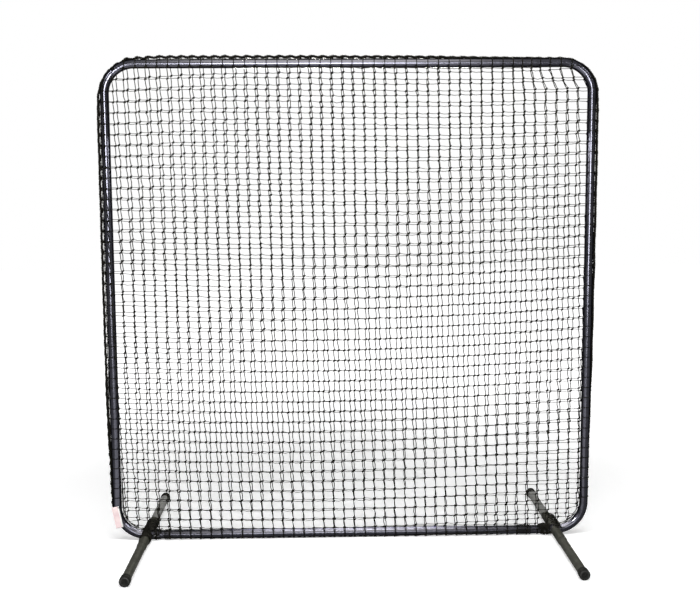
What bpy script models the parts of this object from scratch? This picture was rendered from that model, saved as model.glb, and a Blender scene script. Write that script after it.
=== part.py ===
"""First base fungo screen: a square tube frame on two sliding feet, in a double net.

Metres, +Z up. The origin is on the floor, midway between the feet, in the frame's plane.
+X runs along the screen to the right as the fielder sees it, and -Y is the front.
"""

import math

import bmesh
import bpy
from mathutils import Vector

# Frame
SCREEN_WIDTH = 2.134  # outside of the side rails
SCREEN_HEIGHT = 2.115  # floor to the top of the top rail
TUBE_DIAMETER = 0.0381
TUBE_WALL = 0.00165
BEND_RADIUS = 0.127  # of a corner's centreline
ELBOW_STRAIGHT = 0.116  # from the end of the bend to the shoulder that the rail meets
SPIGOT_LENGTH = 0.045
SPIGOT_CHAMFER = 0.0015

# Foot sleeves and rail sockets, one size up from the frame's tube
SLEEVE_DIAMETER = 0.0422
SLEEVE_WALL = 0.00165
SLEEVE_LENGTH = 0.356
SLEEVE_OFFSET = 0.014  # of the sleeve's middle behind the frame's plane
SLEEVE_PAST_BEND = 0.002
SOCKET_LENGTH = 0.062  # from the foot's axis to the socket's mouth

# Feet and their caps
FOOT_LENGTH = 1.143  # over the caps
CAP_DIAMETER = 0.046
CAP_BODY_DIAMETER = 0.0448
CAP_LENGTH = 0.038
CAP_FLANGE = 0.022  # length of the thick outer end
CAP_GROOVE = 0.0016
CAP_END_WALL = 0.004
CAP_ROUNDING = 0.0026
CAP_RIM_INSET = 0.005
CAP_RIM_HEIGHT = 0.0008

# Fasteners
SCREW_DIAMETER = 0.0046
SCREW_LENGTH = 0.011
SCREW_HEAD_DIAMETER = 0.0092
SCREW_HEAD_HEIGHT = 0.0032
SCREW_HEAD_FLAT = 0.6  # of the head's width that its top keeps
SCREW_TIP = 0.4  # of the shank's width that its tip keeps
SCREW_INSET = 0.022  # from the elbow's shoulder
BOLT_DIAMETER = 0.006
BOLT_HEAD_WIDTH = 0.0100  # across the flats
BOLT_HEAD_HEIGHT = 0.004
BOLT_SPACING = 0.017
BOLT_INSET = 0.011  # of the outer bolt from the socket's mouth
NUT_HEIGHT = 0.005
BOLT_TAIL = 0.003  # past the nut

# Netting
NET_CORD = 0.0025
NET_COLUMNS = 10  # gaps across
NET_ROWS = 10  # gaps up
NET_FROM_SOCKET = 0.019
HOOK_STEP = math.radians(40)
HOOK_END = math.radians(10)
ROPE_DIAMETER = 0.008
ROPE_STANDOFF = 0.030  # rope's centre to the tube's centre
ROPE_PAST_SIDE = math.radians(48)  # how far the rope follows the bottom bends
LACING_DIAMETER = 0.002
LACING_PER_COLUMN = 2
LASHING_TURNS = 3
LASHING_PITCH = 0.010
TAG_WIDTH = 0.027
TAG_HEIGHT = 0.095
TAG_PLY = 0.0006
TAG_FOLD = 0.0024  # over both plies
TAG_OUTSIDE = 0.0175  # of the tag's middle from the rail's axis
TAG_LEAN = math.radians(16)

# Clearances
SEAT_GAP = 0.0003
HOLE_GAP = 0.0003
FOOT_END_GAP = 0.0006

# Facets
TUBE_SIDES = 16
BEND_STEPS = 8
CAP_ROUND_STEPS = 2
SCREW_SIDES = 12
LACING_POINTS = 12
ROPE_CORNER_POINTS = 9
ROPE_SIDE_POINTS = 6
SMOOTH_ANGLE = math.radians(35)

# Places that follow from the sizes
TUBE_RADIUS = TUBE_DIAMETER / 2
TUBE_BORE_RADIUS = TUBE_RADIUS - TUBE_WALL
SPIGOT_RADIUS = TUBE_BORE_RADIUS - SEAT_GAP
SLEEVE_RADIUS = SLEEVE_DIAMETER / 2
FLAT = math.cos(math.pi / TUBE_SIDES)  # of a facet's distance to its corner's
AXIS_HEIGHT = CAP_DIAMETER / 2 * FLAT  # the feet and the bottom rail lie at one height
SIDE_X = SCREEN_WIDTH / 2 - TUBE_RADIUS
TOP_Z = SCREEN_HEIGHT - TUBE_RADIUS
ELBOW_LEG = BEND_RADIUS + ELBOW_STRAIGHT
FOOT_X = SIDE_X - BEND_RADIUS - SLEEVE_PAST_BEND
SOCKET_MOUTH_X = FOOT_X - SOCKET_LENGTH
BOTTOM_RAIL_END = FOOT_X - SLEEVE_RADIUS - FOOT_END_GAP
SCREW_FROM_CORNER = ELBOW_LEG + SCREW_INSET
NET_RADIUS = TUBE_RADIUS + SEAT_GAP + NET_CORD / 2
NET_OUTER_X = SOCKET_MOUTH_X - NET_FROM_SOCKET

ALONG_X = (0, math.pi / 2, 0)
ALONG_Y = (-math.pi / 2, 0, 0)
FACING_FRONT = (math.pi / 2, 0, 0)
UPRIGHT = (0, 0, 0)


def material(name, colour, roughness, metallic=0.0):
    made = bpy.data.materials.new(name)
    made.use_nodes = True
    shader = made.node_tree.nodes["Principled BSDF"]
    shader.inputs["Base Color"].default_value = (*colour, 1)
    shader.inputs["Roughness"].default_value = roughness
    shader.inputs["Metallic"].default_value = metallic
    made.diffuse_color = (*colour, 1)
    return made


def body(name, points, faces, look, location=(0, 0, 0), rotation=UPRIGHT, parent=None):
    """One named piece from its points and faces, with the normals turned out."""
    mesh = bpy.data.meshes.new(name)
    mesh.from_pydata([tuple(p) for p in points], [], faces)
    shape = bmesh.new()
    shape.from_mesh(mesh)
    bmesh.ops.recalc_face_normals(shape, faces=shape.faces)
    if shape.calc_volume(signed=True) < 0:
        bmesh.ops.reverse_faces(shape, faces=shape.faces)
    shape.to_mesh(mesh)
    shape.free()
    mesh.shade_smooth()
    mesh.set_sharp_from_angle(angle=SMOOTH_ANGLE)
    if look:
        mesh.materials.append(look)
    made = bpy.data.objects.new(name, mesh)
    made.location = location
    made.rotation_euler = rotation
    made.parent = parent
    bpy.context.scene.collection.objects.link(made)
    return made


def polygon(radius, sides):
    """Corners of a regular polygon whose flats face its own two axes."""
    half = math.pi / sides
    turns = [2 * half * k + half for k in range(sides)]
    return [(radius * math.cos(turn), radius * math.sin(turn)) for turn in turns]


def skin(rings, closed):
    """Quads between rings of equal count; open ends get one face each."""
    count = len(rings[0])
    faces = []
    for at in range(len(rings) if closed else len(rings) - 1):
        first = at * count
        second = (at + 1) % len(rings) * count
        for k in range(count):
            after = (k + 1) % count
            faces.append((first + k, first + after, second + after, second + k))
    if not closed:
        faces.append(tuple(range(count)))
        faces.append(tuple(range((len(rings) - 1) * count, len(rings) * count)))
    return faces


def turned(name, profile, look, sides=TUBE_SIDES, closed=False, **place):
    """A profile of (radius, height) turned about local Z; closed where it has a bore."""
    rings = [[(a, b, height) for a, b in polygon(radius, sides)] for radius, height in profile]
    points = [point for ring in rings for point in ring]
    return body(name, points, skin(rings, closed), look, **place)


def straight_tube(name, radius, wall, length, look, **place):
    """A plain length of tube, with its middle at its origin."""
    half = length / 2
    inner = radius - wall
    profile = [(radius, -half), (radius, half), (inner, half), (inner, -half)]
    return turned(name, profile, look, closed=True, **place)


def hidden(tool):
    """Keeps a tool of a Boolean out of the model."""
    tool.hide_render = True
    tool.hide_viewport = True
    tool.display_type = "WIRE"
    return tool


def cutter(name, radius, length, sides=SCREW_SIDES, **place):
    """A hidden cylinder for a hole, with its middle at its origin."""
    return hidden(turned(name, [(radius, -length / 2), (radius, length / 2)], None, sides, **place))


def boolean(piece, tool, operation):
    step = piece.modifiers.new(tool.name, "BOOLEAN")
    step.operation = operation
    step.solver = "EXACT"
    step.object = tool


def elbow_path(leg_x, leg_z):
    """Centres and directions from the inner end of the flat leg to the top of the upright one."""
    path = []
    if leg_x > BEND_RADIUS:
        path.append((Vector((leg_x, 0, 0)), Vector((-1, 0, 0))))
    for step in range(BEND_STEPS + 1):
        turn = math.pi / 2 * step / BEND_STEPS
        out = Vector((-math.sin(turn), 0, -math.cos(turn)))
        along = Vector((-math.cos(turn), 0, math.sin(turn)))
        middle = Vector((BEND_RADIUS, 0, BEND_RADIUS))
        path.append((middle + out * BEND_RADIUS, along))
    path.append((Vector((0, 0, leg_z)), Vector((0, 0, 1))))
    return path


def ring_round(centre, along, radius):
    """A ring about a tube that runs in the XZ plane."""
    across = Vector((0, 1, 0))
    normal = along.cross(across)
    return [centre + normal * a + across * b for a, b in polygon(radius, TUBE_SIDES)]


def spigot(end, along, way):
    """Outer and inner places of a reduced end, from its shoulder to its chamfered tip.

    It leaves the shoulder along the tube's direction where way is 1, and against it at -1.
    """
    neck = end + along * way * (SPIGOT_LENGTH - SPIGOT_CHAMFER)
    tip = end + along * way * SPIGOT_LENGTH
    bore = SPIGOT_RADIUS - TUBE_WALL
    tip_radius = SPIGOT_RADIUS - SPIGOT_CHAMFER / 2
    outer = [(end, along, SPIGOT_RADIUS), (neck, along, SPIGOT_RADIUS), (tip, along, tip_radius)]
    inner = [(end, along, bore), (tip, along, bore)]
    return outer, inner


def elbow(name, look, corner, rotation, flat_leg, with_flat_spigot):
    """A bent corner tube with reduced ends that slip into the rails."""
    path = elbow_path(flat_leg, ELBOW_LEG)
    outer = [(centre, along, TUBE_RADIUS) for centre, along in path]
    inner = [(centre, along, TUBE_BORE_RADIUS) for centre, along in path]
    upright_outer, upright_inner = spigot(*path[-1], 1)
    outer += upright_outer
    inner += upright_inner
    if with_flat_spigot:
        flat_outer, flat_inner = spigot(*path[0], -1)
        outer = flat_outer[::-1] + outer
        inner = flat_inner[::-1] + inner
    rings = [ring_round(*place) for place in outer + inner[::-1]]
    points = [point for ring in rings for point in ring]
    return body(name, points, skin(rings, True), look, location=corner, rotation=rotation)


def cap_profile():
    """Outside from the centre of the end face to the mouth, then the bore to its floor."""
    outer = CAP_DIAMETER / 2
    sleeve = CAP_BODY_DIAMETER / 2
    bore = TUBE_RADIUS + SEAT_GAP
    rim = outer - CAP_RIM_INSET
    rounded = [
        (
            outer - CAP_ROUNDING * (1 - math.sin(turn)),
            CAP_ROUNDING * (1 - math.cos(turn)),
        )
        for turn in (math.pi / 2 * k / CAP_ROUND_STEPS for k in range(CAP_ROUND_STEPS + 1))
    ]
    groove = CAP_FLANGE + CAP_GROOVE
    return [
        (rim - CAP_RIM_HEIGHT, CAP_RIM_HEIGHT),
        (rim, 0),
        *rounded,
        (outer, CAP_FLANGE),
        (sleeve - CAP_GROOVE / 2, CAP_FLANGE),
        (sleeve - CAP_GROOVE / 2, groove),
        (sleeve, groove),
        (sleeve, CAP_LENGTH),
        (bore, CAP_LENGTH),
        (bore, CAP_END_WALL),
    ]


def make_foot(side, sign, looks):
    """A foot tube with its two slip-on caps, on an empty that lies on its sliding axis."""
    slide = bpy.data.objects.new(side + "_foot_slide", None)
    slide.location = (sign * FOOT_X, 0, AXIS_HEIGHT)
    bpy.context.scene.collection.objects.link(slide)
    half = FOOT_LENGTH / 2
    tube_length = FOOT_LENGTH - 2 * (CAP_END_WALL + SEAT_GAP)
    straight_tube(
        side + "_foot_tube",
        TUBE_RADIUS,
        TUBE_WALL,
        tube_length,
        looks["foot"],
        rotation=ALONG_Y,
        parent=slide,
    )
    for end, facing, turn in (("front", -1, ALONG_Y), ("rear", 1, FACING_FRONT)):
        turned(
            f"{side}_{end}_cap",
            cap_profile(),
            looks["cap"],
            location=(0, facing * half, 0),
            rotation=turn,
            parent=slide,
        )


def make_rails(looks):
    """The four straight tubes."""
    upright = TOP_Z - AXIS_HEIGHT - 2 * ELBOW_LEG - 2 * SEAT_GAP
    across = 2 * (SIDE_X - ELBOW_LEG - SEAT_GAP)
    middle_z = (TOP_Z + AXIS_HEIGHT) / 2
    size = (TUBE_RADIUS, TUBE_WALL)
    frame = looks["frame"]
    top_place = (0, 0, TOP_Z)
    rails = {"top": straight_tube("top_rail", *size, across, frame, location=top_place, rotation=ALONG_X)}
    rails["bottom"] = straight_tube(
        "bottom_rail",
        *size,
        2 * BOTTOM_RAIL_END,
        frame,
        location=(0, 0, AXIS_HEIGHT),
        rotation=ALONG_X,
    )
    for side, sign in (("left", -1), ("right", 1)):
        place = (sign * SIDE_X, 0, middle_z)
        rails[side] = straight_tube(side + "_rail", *size, upright, frame, location=place)
    return rails


def make_elbows(looks):
    """Two top corners with two spigots each, and two bottom ones coped to a foot sleeve."""
    frame = looks["frame"]
    top = (ELBOW_LEG, True)
    bottom = (SIDE_X - FOOT_X, False)
    return {
        "top_left": elbow("top_left_elbow", frame, (-SIDE_X, 0, TOP_Z), (math.pi, 0, 0), *top),
        "top_right": elbow("top_right_elbow", frame, (SIDE_X, 0, TOP_Z), (0, math.pi, 0), *top),
        "bottom_left": elbow("bottom_left_elbow", frame, (-SIDE_X, 0, AXIS_HEIGHT), UPRIGHT, *bottom),
        "bottom_right": elbow(
            "bottom_right_elbow", frame, (SIDE_X, 0, AXIS_HEIGHT), (0, 0, math.pi), *bottom
        ),
    }


def make_foot_joint(side, sign, rails, elbows, looks):
    """The sleeve that a foot slides in, the socket for the bottom rail, and its two bolts."""
    place = (sign * FOOT_X, SLEEVE_OFFSET, AXIS_HEIGHT)
    straight_tube(
        side + "_foot_sleeve",
        SLEEVE_RADIUS,
        SLEEVE_WALL,
        SLEEVE_LENGTH,
        looks["frame"],
        location=place,
        rotation=ALONG_Y,
    )
    socket = straight_tube(
        side + "_rail_socket",
        SLEEVE_RADIUS,
        SLEEVE_WALL,
        SOCKET_LENGTH,
        looks["frame"],
        location=(sign * (FOOT_X - SOCKET_LENGTH / 2), 0, AXIS_HEIGHT),
        rotation=ALONG_X,
    )
    saddle = cutter(
        side + "_sleeve_saddle",
        SLEEVE_RADIUS + SEAT_GAP,
        SLEEVE_LENGTH,
        TUBE_SIDES,
        location=place,
        rotation=ALONG_Y,
    )
    boolean(socket, saddle, "DIFFERENCE")
    boolean(elbows["bottom_" + side], saddle, "DIFFERENCE")
    for which, back in (("mouth", 0), ("sleeve", BOLT_SPACING)):
        x = sign * (SOCKET_MOUTH_X + BOLT_INSET + back)
        hole = cutter(
            f"{side}_{which}_bolt_hole",
            BOLT_DIAMETER / 2 + HOLE_GAP,
            2 * SLEEVE_DIAMETER,
            location=(x, 0, AXIS_HEIGHT),
            rotation=ALONG_Y,
        )
        boolean(socket, hole, "DIFFERENCE")
        boolean(rails["bottom"], hole, "DIFFERENCE")
        make_bolt(f"{side}_{which}", x, looks["bolt"])


def make_bolt(name, x, look):
    """A hexagon bolt from the front of a socket to its nut at the back."""
    seat = SLEEVE_RADIUS + SEAT_GAP
    shank = 2 * seat + NUT_HEIGHT + BOLT_TAIL
    corner = BOLT_HEAD_WIDTH / 2 / math.cos(math.pi / 6)
    radius = BOLT_DIAMETER / 2
    place = {"location": (x, -seat, AXIS_HEIGHT), "rotation": ALONG_Y}
    bolt = turned(name + "_bolt", [(radius, -BOLT_HEAD_HEIGHT / 2), (radius, shank)], look, SCREW_SIDES, **place)
    head = turned(name + "_bolt_head", [(corner, -BOLT_HEAD_HEIGHT), (corner, 0)], None, 6, **place)
    boolean(bolt, hidden(head), "UNION")
    nut_place = {"location": (x, seat, AXIS_HEIGHT), "rotation": ALONG_Y}
    nut = turned(name + "_nut", [(corner, 0), (corner, NUT_HEIGHT)], look, 6, **nut_place)
    bore = cutter(name + "_nut_bore", radius + HOLE_GAP, 4 * NUT_HEIGHT, **nut_place)
    boolean(nut, bore, "DIFFERENCE")


def make_joint_screw(name, x, z, rail, elbow_piece, look):
    """A pan head screw from the back, through the rail and the spigot inside it."""
    hole = cutter(
        name + "_hole",
        SCREW_DIAMETER / 2 + HOLE_GAP,
        TUBE_RADIUS,
        location=(x, TUBE_RADIUS, z),
        rotation=ALONG_Y,
    )
    boolean(rail, hole, "DIFFERENCE")
    boolean(elbow_piece, hole, "DIFFERENCE")
    radius = SCREW_DIAMETER / 2
    head = SCREW_HEAD_DIAMETER / 2
    profile = [
        (radius * SCREW_TIP, -SCREW_LENGTH),
        (radius, radius - SCREW_LENGTH),
        (radius, 0),
        (head, 0),
        (head, SCREW_HEAD_HEIGHT / 2),
        (head * SCREW_HEAD_FLAT, SCREW_HEAD_HEIGHT),
    ]
    place = (x, TUBE_RADIUS * FLAT + SEAT_GAP, z)
    turned(name, profile, look, SCREW_SIDES, location=place, rotation=ALONG_Y)


def make_joint_screws(rails, elbows, look):
    """One screw at each slip joint of the top rail and of the side rails."""
    flat_x = SIDE_X - SCREW_FROM_CORNER
    upper_z = TOP_Z - SCREW_FROM_CORNER
    lower_z = AXIS_HEIGHT + SCREW_FROM_CORNER
    for side, sign in (("left", -1), ("right", 1)):
        top = elbows["top_" + side]
        make_joint_screw(f"top_{side}_rail_screw", sign * flat_x, TOP_Z, rails["top"], top, look)
        make_joint_screw(f"upper_{side}_side_screw", sign * SIDE_X, upper_z, rails[side], top, look)
        lower = elbows["bottom_" + side]
        make_joint_screw(f"lower_{side}_side_screw", sign * SIDE_X, lower_z, rails[side], lower, look)


def hook_route(end):
    """(outward, away) places of a cord that comes off the flat and goes round a tube.

    Each run is tangent to the circle that the cord's middle follows. The route ends at the
    border rope, or under the tube at the angle HOOK_END.
    """
    corner = NET_RADIUS / math.cos(HOOK_STEP / 2)
    first = math.pi / 2 - HOOK_STEP / 2
    route = [
        (corner * math.cos(turn), corner * math.sin(turn))
        for turn in (first, first - HOOK_STEP)
    ]
    if end == "rope":
        last = Vector(route[-1])
        rope = Vector((ROPE_STANDOFF, 0))
        reach = ROPE_DIAMETER / 2 + SEAT_GAP
        stop = rope + (last - rope).normalized() * reach
        route.append(tuple(stop))
    else:
        route.append((NET_RADIUS * math.cos(HOOK_END), NET_RADIUS * math.sin(HOOK_END)))
    return route


def mitre(before, at, after):
    """Where a cord's outer side lies from its middle at a corner, for a half width of 1."""
    into = (Vector(at) - Vector(before)).normalized()
    out = (Vector(after) - Vector(at)).normalized() if after else into
    side = Vector((-into.y, into.x))
    normal = (side + Vector((-out.y, out.x))).normalized()
    return normal / normal.dot(side)


def make_net(name, facing, look):
    """A square net on one face of the frame, whose cords go round the tubes at their ends."""
    half = NET_CORD / 2
    plane = facing * NET_RADIUS
    columns = [
        -NET_OUTER_X + 2 * NET_OUTER_X * k / (NET_COLUMNS - 2) for k in range(NET_COLUMNS - 1)
    ]
    pitch = (TOP_Z - AXIS_HEIGHT) / NET_ROWS
    rows = [AXIS_HEIGHT + pitch * (k + 1) for k in range(NET_ROWS - 1)]
    points = []
    faces = []
    knots = {}

    def knot(x, z):
        first = len(points)
        for dx, dy, dz in [(a, b, c) for a in (-1, 1) for b in (-1, 1) for c in (-1, 1)]:
            points.append((x + dx * half, plane + dy * half, z + dz * half))
        return {
            "left": (first, first + 1, first + 3, first + 2),
            "right": (first + 4, first + 5, first + 7, first + 6),
            "down": (first, first + 4, first + 6, first + 2),
            "up": (first + 1, first + 5, first + 7, first + 3),
            "near": (first, first + 1, first + 5, first + 4),
            "far": (first + 2, first + 3, first + 7, first + 6),
        }

    def join(one, other):
        for k in range(4):
            after = (k + 1) % 4
            faces.append((one[k], one[after], other[after], other[k]))

    for i, x in enumerate(columns):
        for j, z in enumerate(rows):
            made = knot(x, z)
            faces.extend((made["near"], made["far"]))
            knots[i, j] = made
            if i:
                join(knots[i - 1, j]["right"], made["left"])
            if j:
                join(knots[i, j - 1]["up"], made["down"])

    def hook(start, face, axis_at, outward, sideways, end):
        """A cord's end, from a knot's face over the tube whose axis is at axis_at."""
        route = hook_route(end)
        previous = face
        before = (-BEND_RADIUS, NET_RADIUS)
        for number, at in enumerate(route):
            after = route[number + 1] if number + 1 < len(route) else None
            offset = mitre(before, at, after) * half
            ring = []
            for corner in face:
                # Each corner of the knot's face keeps its side and its near or far place.
                given = Vector(points[corner])
                side = 1 if (given - Vector(start)).dot(sideways) > 0 else -1
                away = 1 if (given.y - plane) * facing > 0 else -1
                out = at[0] + offset.x * away
                off = at[1] + offset.y * away
                place = axis_at + outward * out + sideways * (side * half)
                place.y = facing * off
                ring.append(len(points))
                points.append(tuple(place))
            join(previous, tuple(ring))
            previous = tuple(ring)
            before = at
        faces.append(previous)

    across = Vector((1, 0, 0))
    up = Vector((0, 0, 1))
    last_row = len(rows) - 1
    last_column = len(columns) - 1
    for i, x in enumerate(columns):
        top_knot = (x, plane, rows[-1])
        hook(top_knot, knots[i, last_row]["up"], Vector((x, 0, TOP_Z)), up, across, "rope")
        low_knot = (x, plane, rows[0])
        hook(low_knot, knots[i, 0]["down"], Vector((x, 0, AXIS_HEIGHT)), -up, across, "under")
    for j, z in enumerate(rows):
        left_knot = (columns[0], plane, z)
        hook(left_knot, knots[0, j]["left"], Vector((-SIDE_X, 0, z)), -across, up, "rope")
        right_knot = (columns[-1], plane, z)
        hook(right_knot, knots[last_column, j]["right"], Vector((SIDE_X, 0, z)), across, up, "rope")
    return body(name, points, faces, look)


def cord(name, points, diameter, resolution, look):
    """A cord through its points, as a round curve with closed ends."""
    curve = bpy.data.curves.new(name, "CURVE")
    curve.dimensions = "3D"
    curve.bevel_depth = diameter / 2
    curve.bevel_resolution = resolution
    curve.use_fill_caps = True
    spline = curve.splines.new("POLY")
    spline.points.add(len(points) - 1)
    for at, point in zip(spline.points, points):
        at.co = (*point, 1)
    curve.materials.append(look)
    made = bpy.data.objects.new(name, curve)
    bpy.context.scene.collection.objects.link(made)
    return made


def make_border_rope(look):
    """The rope in the net's edge: up the left side, over the top and down the right side."""
    reach = BEND_RADIUS + ROPE_STANDOFF
    inner_x = SIDE_X - BEND_RADIUS
    low_z = AXIS_HEIGHT + BEND_RADIUS
    high_z = TOP_Z - BEND_RADIUS

    def arc(middle_x, middle_z, start, stop):
        turns = [
            start + (stop - start) * k / (ROPE_CORNER_POINTS - 1) for k in range(ROPE_CORNER_POINTS)
        ]
        return [
            (middle_x + reach * math.cos(turn), 0, middle_z + reach * math.sin(turn))
            for turn in turns
        ]

    def run(start, stop):
        first = Vector(start)
        last = Vector(stop)
        return [tuple(first.lerp(last, k / ROPE_SIDE_POINTS)) for k in range(1, ROPE_SIDE_POINTS)]

    up_left = arc(-inner_x, low_z, math.pi + ROPE_PAST_SIDE, math.pi)
    over_left = arc(-inner_x, high_z, math.pi, math.pi / 2)
    over_right = arc(inner_x, high_z, math.pi / 2, 0)
    down_right = arc(inner_x, low_z, 0, -ROPE_PAST_SIDE)
    points = [
        *up_left,
        *run(up_left[-1], over_left[0]),
        *over_left,
        *run(over_left[-1], over_right[0]),
        *over_right,
        *run(over_right[-1], down_right[0]),
        *down_right,
    ]
    return cord("border_rope", points, ROPE_DIAMETER, 2, look)


def make_bottom_lacing(look):
    """The cord that laces both nets round the bottom rail, with close turns by each foot.

    It crosses the top of the rail at each column of the net, between the two nets, so it
    never meets their ends.
    """
    column = 2 * NET_OUTER_X / (NET_COLUMNS - 2)
    pitch = column / LACING_PER_COLUMN
    spiral_turns = LACING_PER_COLUMN * (NET_COLUMNS - 2) / 2 - 0.5
    all_turns = spiral_turns + LASHING_TURNS
    middle = TUBE_RADIUS + SEAT_GAP + LACING_DIAMETER / 2
    radius = middle / math.cos(math.pi / LACING_POINTS)
    steps = round(2 * all_turns * LACING_POINTS)
    points = []
    for step in range(steps + 1):
        turn = -all_turns + step / LACING_POINTS
        spiral = max(-spiral_turns, min(spiral_turns, turn))
        x = spiral * pitch + (turn - spiral) * LASHING_PITCH
        angle = 2 * math.pi * turn
        y = -radius * math.sin(angle)
        z = AXIS_HEIGHT + radius * math.cos(angle)
        points.append((x, y, z))
    gap = LASHING_PITCH - LACING_DIAMETER
    print(f"bottom_lacing: least gap between turns {gap * 1000:.2f} mm")
    return cord("bottom_lacing", points, LACING_DIAMETER, 1, look)


def make_tag(look):
    """A bare label folded in two, sewn in the net's edge outside the bottom left bend."""
    width = TAG_WIDTH / 2
    inner = TAG_FOLD - TAG_PLY
    outline = [
        (-width, 0),
        (width, 0),
        (width, TAG_PLY),
        (TAG_PLY - width, TAG_PLY),
        (TAG_PLY - width, inner),
        (width, inner),
        (width, TAG_FOLD),
        (-width, TAG_FOLD),
    ]
    half = TAG_HEIGHT / 2
    low = [(x, -y, -half) for x, y in outline]
    high = [(x, -y, half) for x, y in outline]
    top_z = AXIS_HEIGHT + BEND_RADIUS
    place = (
        -SIDE_X - TAG_OUTSIDE + math.sin(TAG_LEAN) * half,
        -TUBE_RADIUS - SEAT_GAP,
        top_z - math.cos(TAG_LEAN) * half,
    )
    return body("net_tag", low + high, skin([low, high], False), look, place, (0, -TAG_LEAN, 0))


def main():
    for old in list(bpy.data.objects):
        bpy.data.objects.remove(old, do_unlink=True)
    looks = {
        "frame": material("frame_black", (0.012, 0.012, 0.015), 0.28, 0.3),
        "foot": material("foot_grey", (0.075, 0.075, 0.062), 0.55, 0.2),
        "cap": material("cap_black", (0.01, 0.01, 0.01), 0.6),
        "bolt": material("bolt_black", (0.02, 0.02, 0.022), 0.4, 0.8),
        "net": material("net_black", (0.008, 0.008, 0.008), 0.8),
        "rope": material("rope_black", (0.01, 0.01, 0.01), 0.85),
        "tag": material("tag_pink", (0.75, 0.6, 0.6), 0.9),
    }
    rails = make_rails(looks)
    elbows = make_elbows(looks)
    for side, sign in (("left", -1), ("right", 1)):
        make_foot_joint(side, sign, rails, elbows, looks)
        make_foot(side, sign, looks)
    make_joint_screws(rails, elbows, looks["bolt"])
    make_net("front_net", -1, looks["net"])
    make_net("back_net", 1, looks["net"])
    make_border_rope(looks["rope"])
    make_bottom_lacing(looks["rope"])
    make_tag(looks["tag"])


main()
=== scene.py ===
# %% [markdown]
# # A fielder's screen, dressed piece by piece
# The screen is a square frame of black tube in a double net, on two tube feet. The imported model
# gives every piece its place, and this script gives each one its looks: smooth coated tube, the
# full knotted net, the rope in its edge, the lacing, the fasteners and a bare cloth label.
# Lengths are in metres. The front is towards -Y, +X runs to the right and +Z up.

# %% Load the frame
import random
from math import acos, atan2, copysign, cos, hypot, pi, radians, sin, sqrt, tau

import bmesh
import bpy
import numpy as np
from mathutils import Euler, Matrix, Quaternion, Vector


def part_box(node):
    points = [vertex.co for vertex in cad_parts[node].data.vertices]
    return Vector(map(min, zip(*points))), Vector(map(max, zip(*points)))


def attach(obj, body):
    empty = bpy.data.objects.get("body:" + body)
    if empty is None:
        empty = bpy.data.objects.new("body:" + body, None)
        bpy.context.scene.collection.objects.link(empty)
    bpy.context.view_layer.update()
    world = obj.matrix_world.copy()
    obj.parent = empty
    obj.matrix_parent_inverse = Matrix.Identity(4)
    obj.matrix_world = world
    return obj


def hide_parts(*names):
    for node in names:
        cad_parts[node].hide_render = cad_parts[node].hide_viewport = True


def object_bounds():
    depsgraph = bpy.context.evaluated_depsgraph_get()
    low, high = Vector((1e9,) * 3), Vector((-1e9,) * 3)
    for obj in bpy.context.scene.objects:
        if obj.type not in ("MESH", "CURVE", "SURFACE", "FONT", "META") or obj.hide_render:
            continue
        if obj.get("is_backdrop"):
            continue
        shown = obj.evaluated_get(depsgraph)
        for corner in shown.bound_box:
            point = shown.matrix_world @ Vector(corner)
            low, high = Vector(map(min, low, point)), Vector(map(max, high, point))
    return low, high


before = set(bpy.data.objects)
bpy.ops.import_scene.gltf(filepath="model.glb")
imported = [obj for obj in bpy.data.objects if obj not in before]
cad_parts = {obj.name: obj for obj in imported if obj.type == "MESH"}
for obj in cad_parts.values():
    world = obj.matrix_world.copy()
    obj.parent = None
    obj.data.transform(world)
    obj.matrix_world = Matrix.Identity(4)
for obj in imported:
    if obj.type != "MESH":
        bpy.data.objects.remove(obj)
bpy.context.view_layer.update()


# %% [markdown]
# ## Places
# Nothing is measured twice: the places of the tubes, feet and sockets are read from the boxes of
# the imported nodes. Only the sizes that a box can't tell, such as a tube's true radius, are
# written down here.

# %% Places of the tubes
TUBE_RADIUS = 0.01905
TUBE_WALL = 0.00165
SLEEVE_RADIUS = 0.0211
BEND_RADIUS = 0.127


def box_middle(node):
    low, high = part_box(node)
    return (low + high) / 2


SIDE_X = box_middle("right_rail").x
TOP_Z = box_middle("top_rail").z
LOW_Z = box_middle("bottom_rail").z
FOOT_X = box_middle("right_foot_tube").x
MOUTH_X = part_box("right_rail_socket")[0].x
MIDDLE_Z = (TOP_Z + LOW_Z) / 2
INNER_X = SIDE_X - BEND_RADIUS  # where the corners' bends begin
SIDES = (("left", -1), ("right", 1))
print(f"tube middles: sides at {SIDE_X:.3f}, top at {TOP_Z:.3f}, feet at {FOOT_X:.3f}")


# %% [markdown]
# ## Camera
# The camera stands where the photographer did: a little left of the middle, at shoulder height,
# looking slightly down. Its place, turn and lens come from lining up the rails and feet.

# %% Camera
CAMERA_PLACE = (-0.1192, -4.6998, 1.6213)
CAMERA_DOWN = radians(6.888)
CAMERA_RIGHT = radians(1.417)
CAMERA_ROLL = radians(-0.328)
FOCAL_PIXELS = 1076.52
PHOTO_WIDTH = 700
SENSOR = 36  # millimetres


def new_object(name, data):
    made = bpy.data.objects.new(name, data)
    bpy.context.scene.collection.objects.link(made)
    return made


camera = new_object("camera", bpy.data.cameras.new("camera"))
camera.location = CAMERA_PLACE
camera.rotation_mode = "QUATERNION"
level_view = Euler((pi / 2 - CAMERA_DOWN, 0, -CAMERA_RIGHT)).to_quaternion()
camera.rotation_quaternion = level_view @ Quaternion((0, 0, 1), CAMERA_ROLL)
camera.data.sensor_width = SENSOR
camera.data.lens = FOCAL_PIXELS / PHOTO_WIDTH * SENSOR
bpy.context.scene.camera = camera
print(f"lens {camera.data.lens:.1f} mm")


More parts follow.
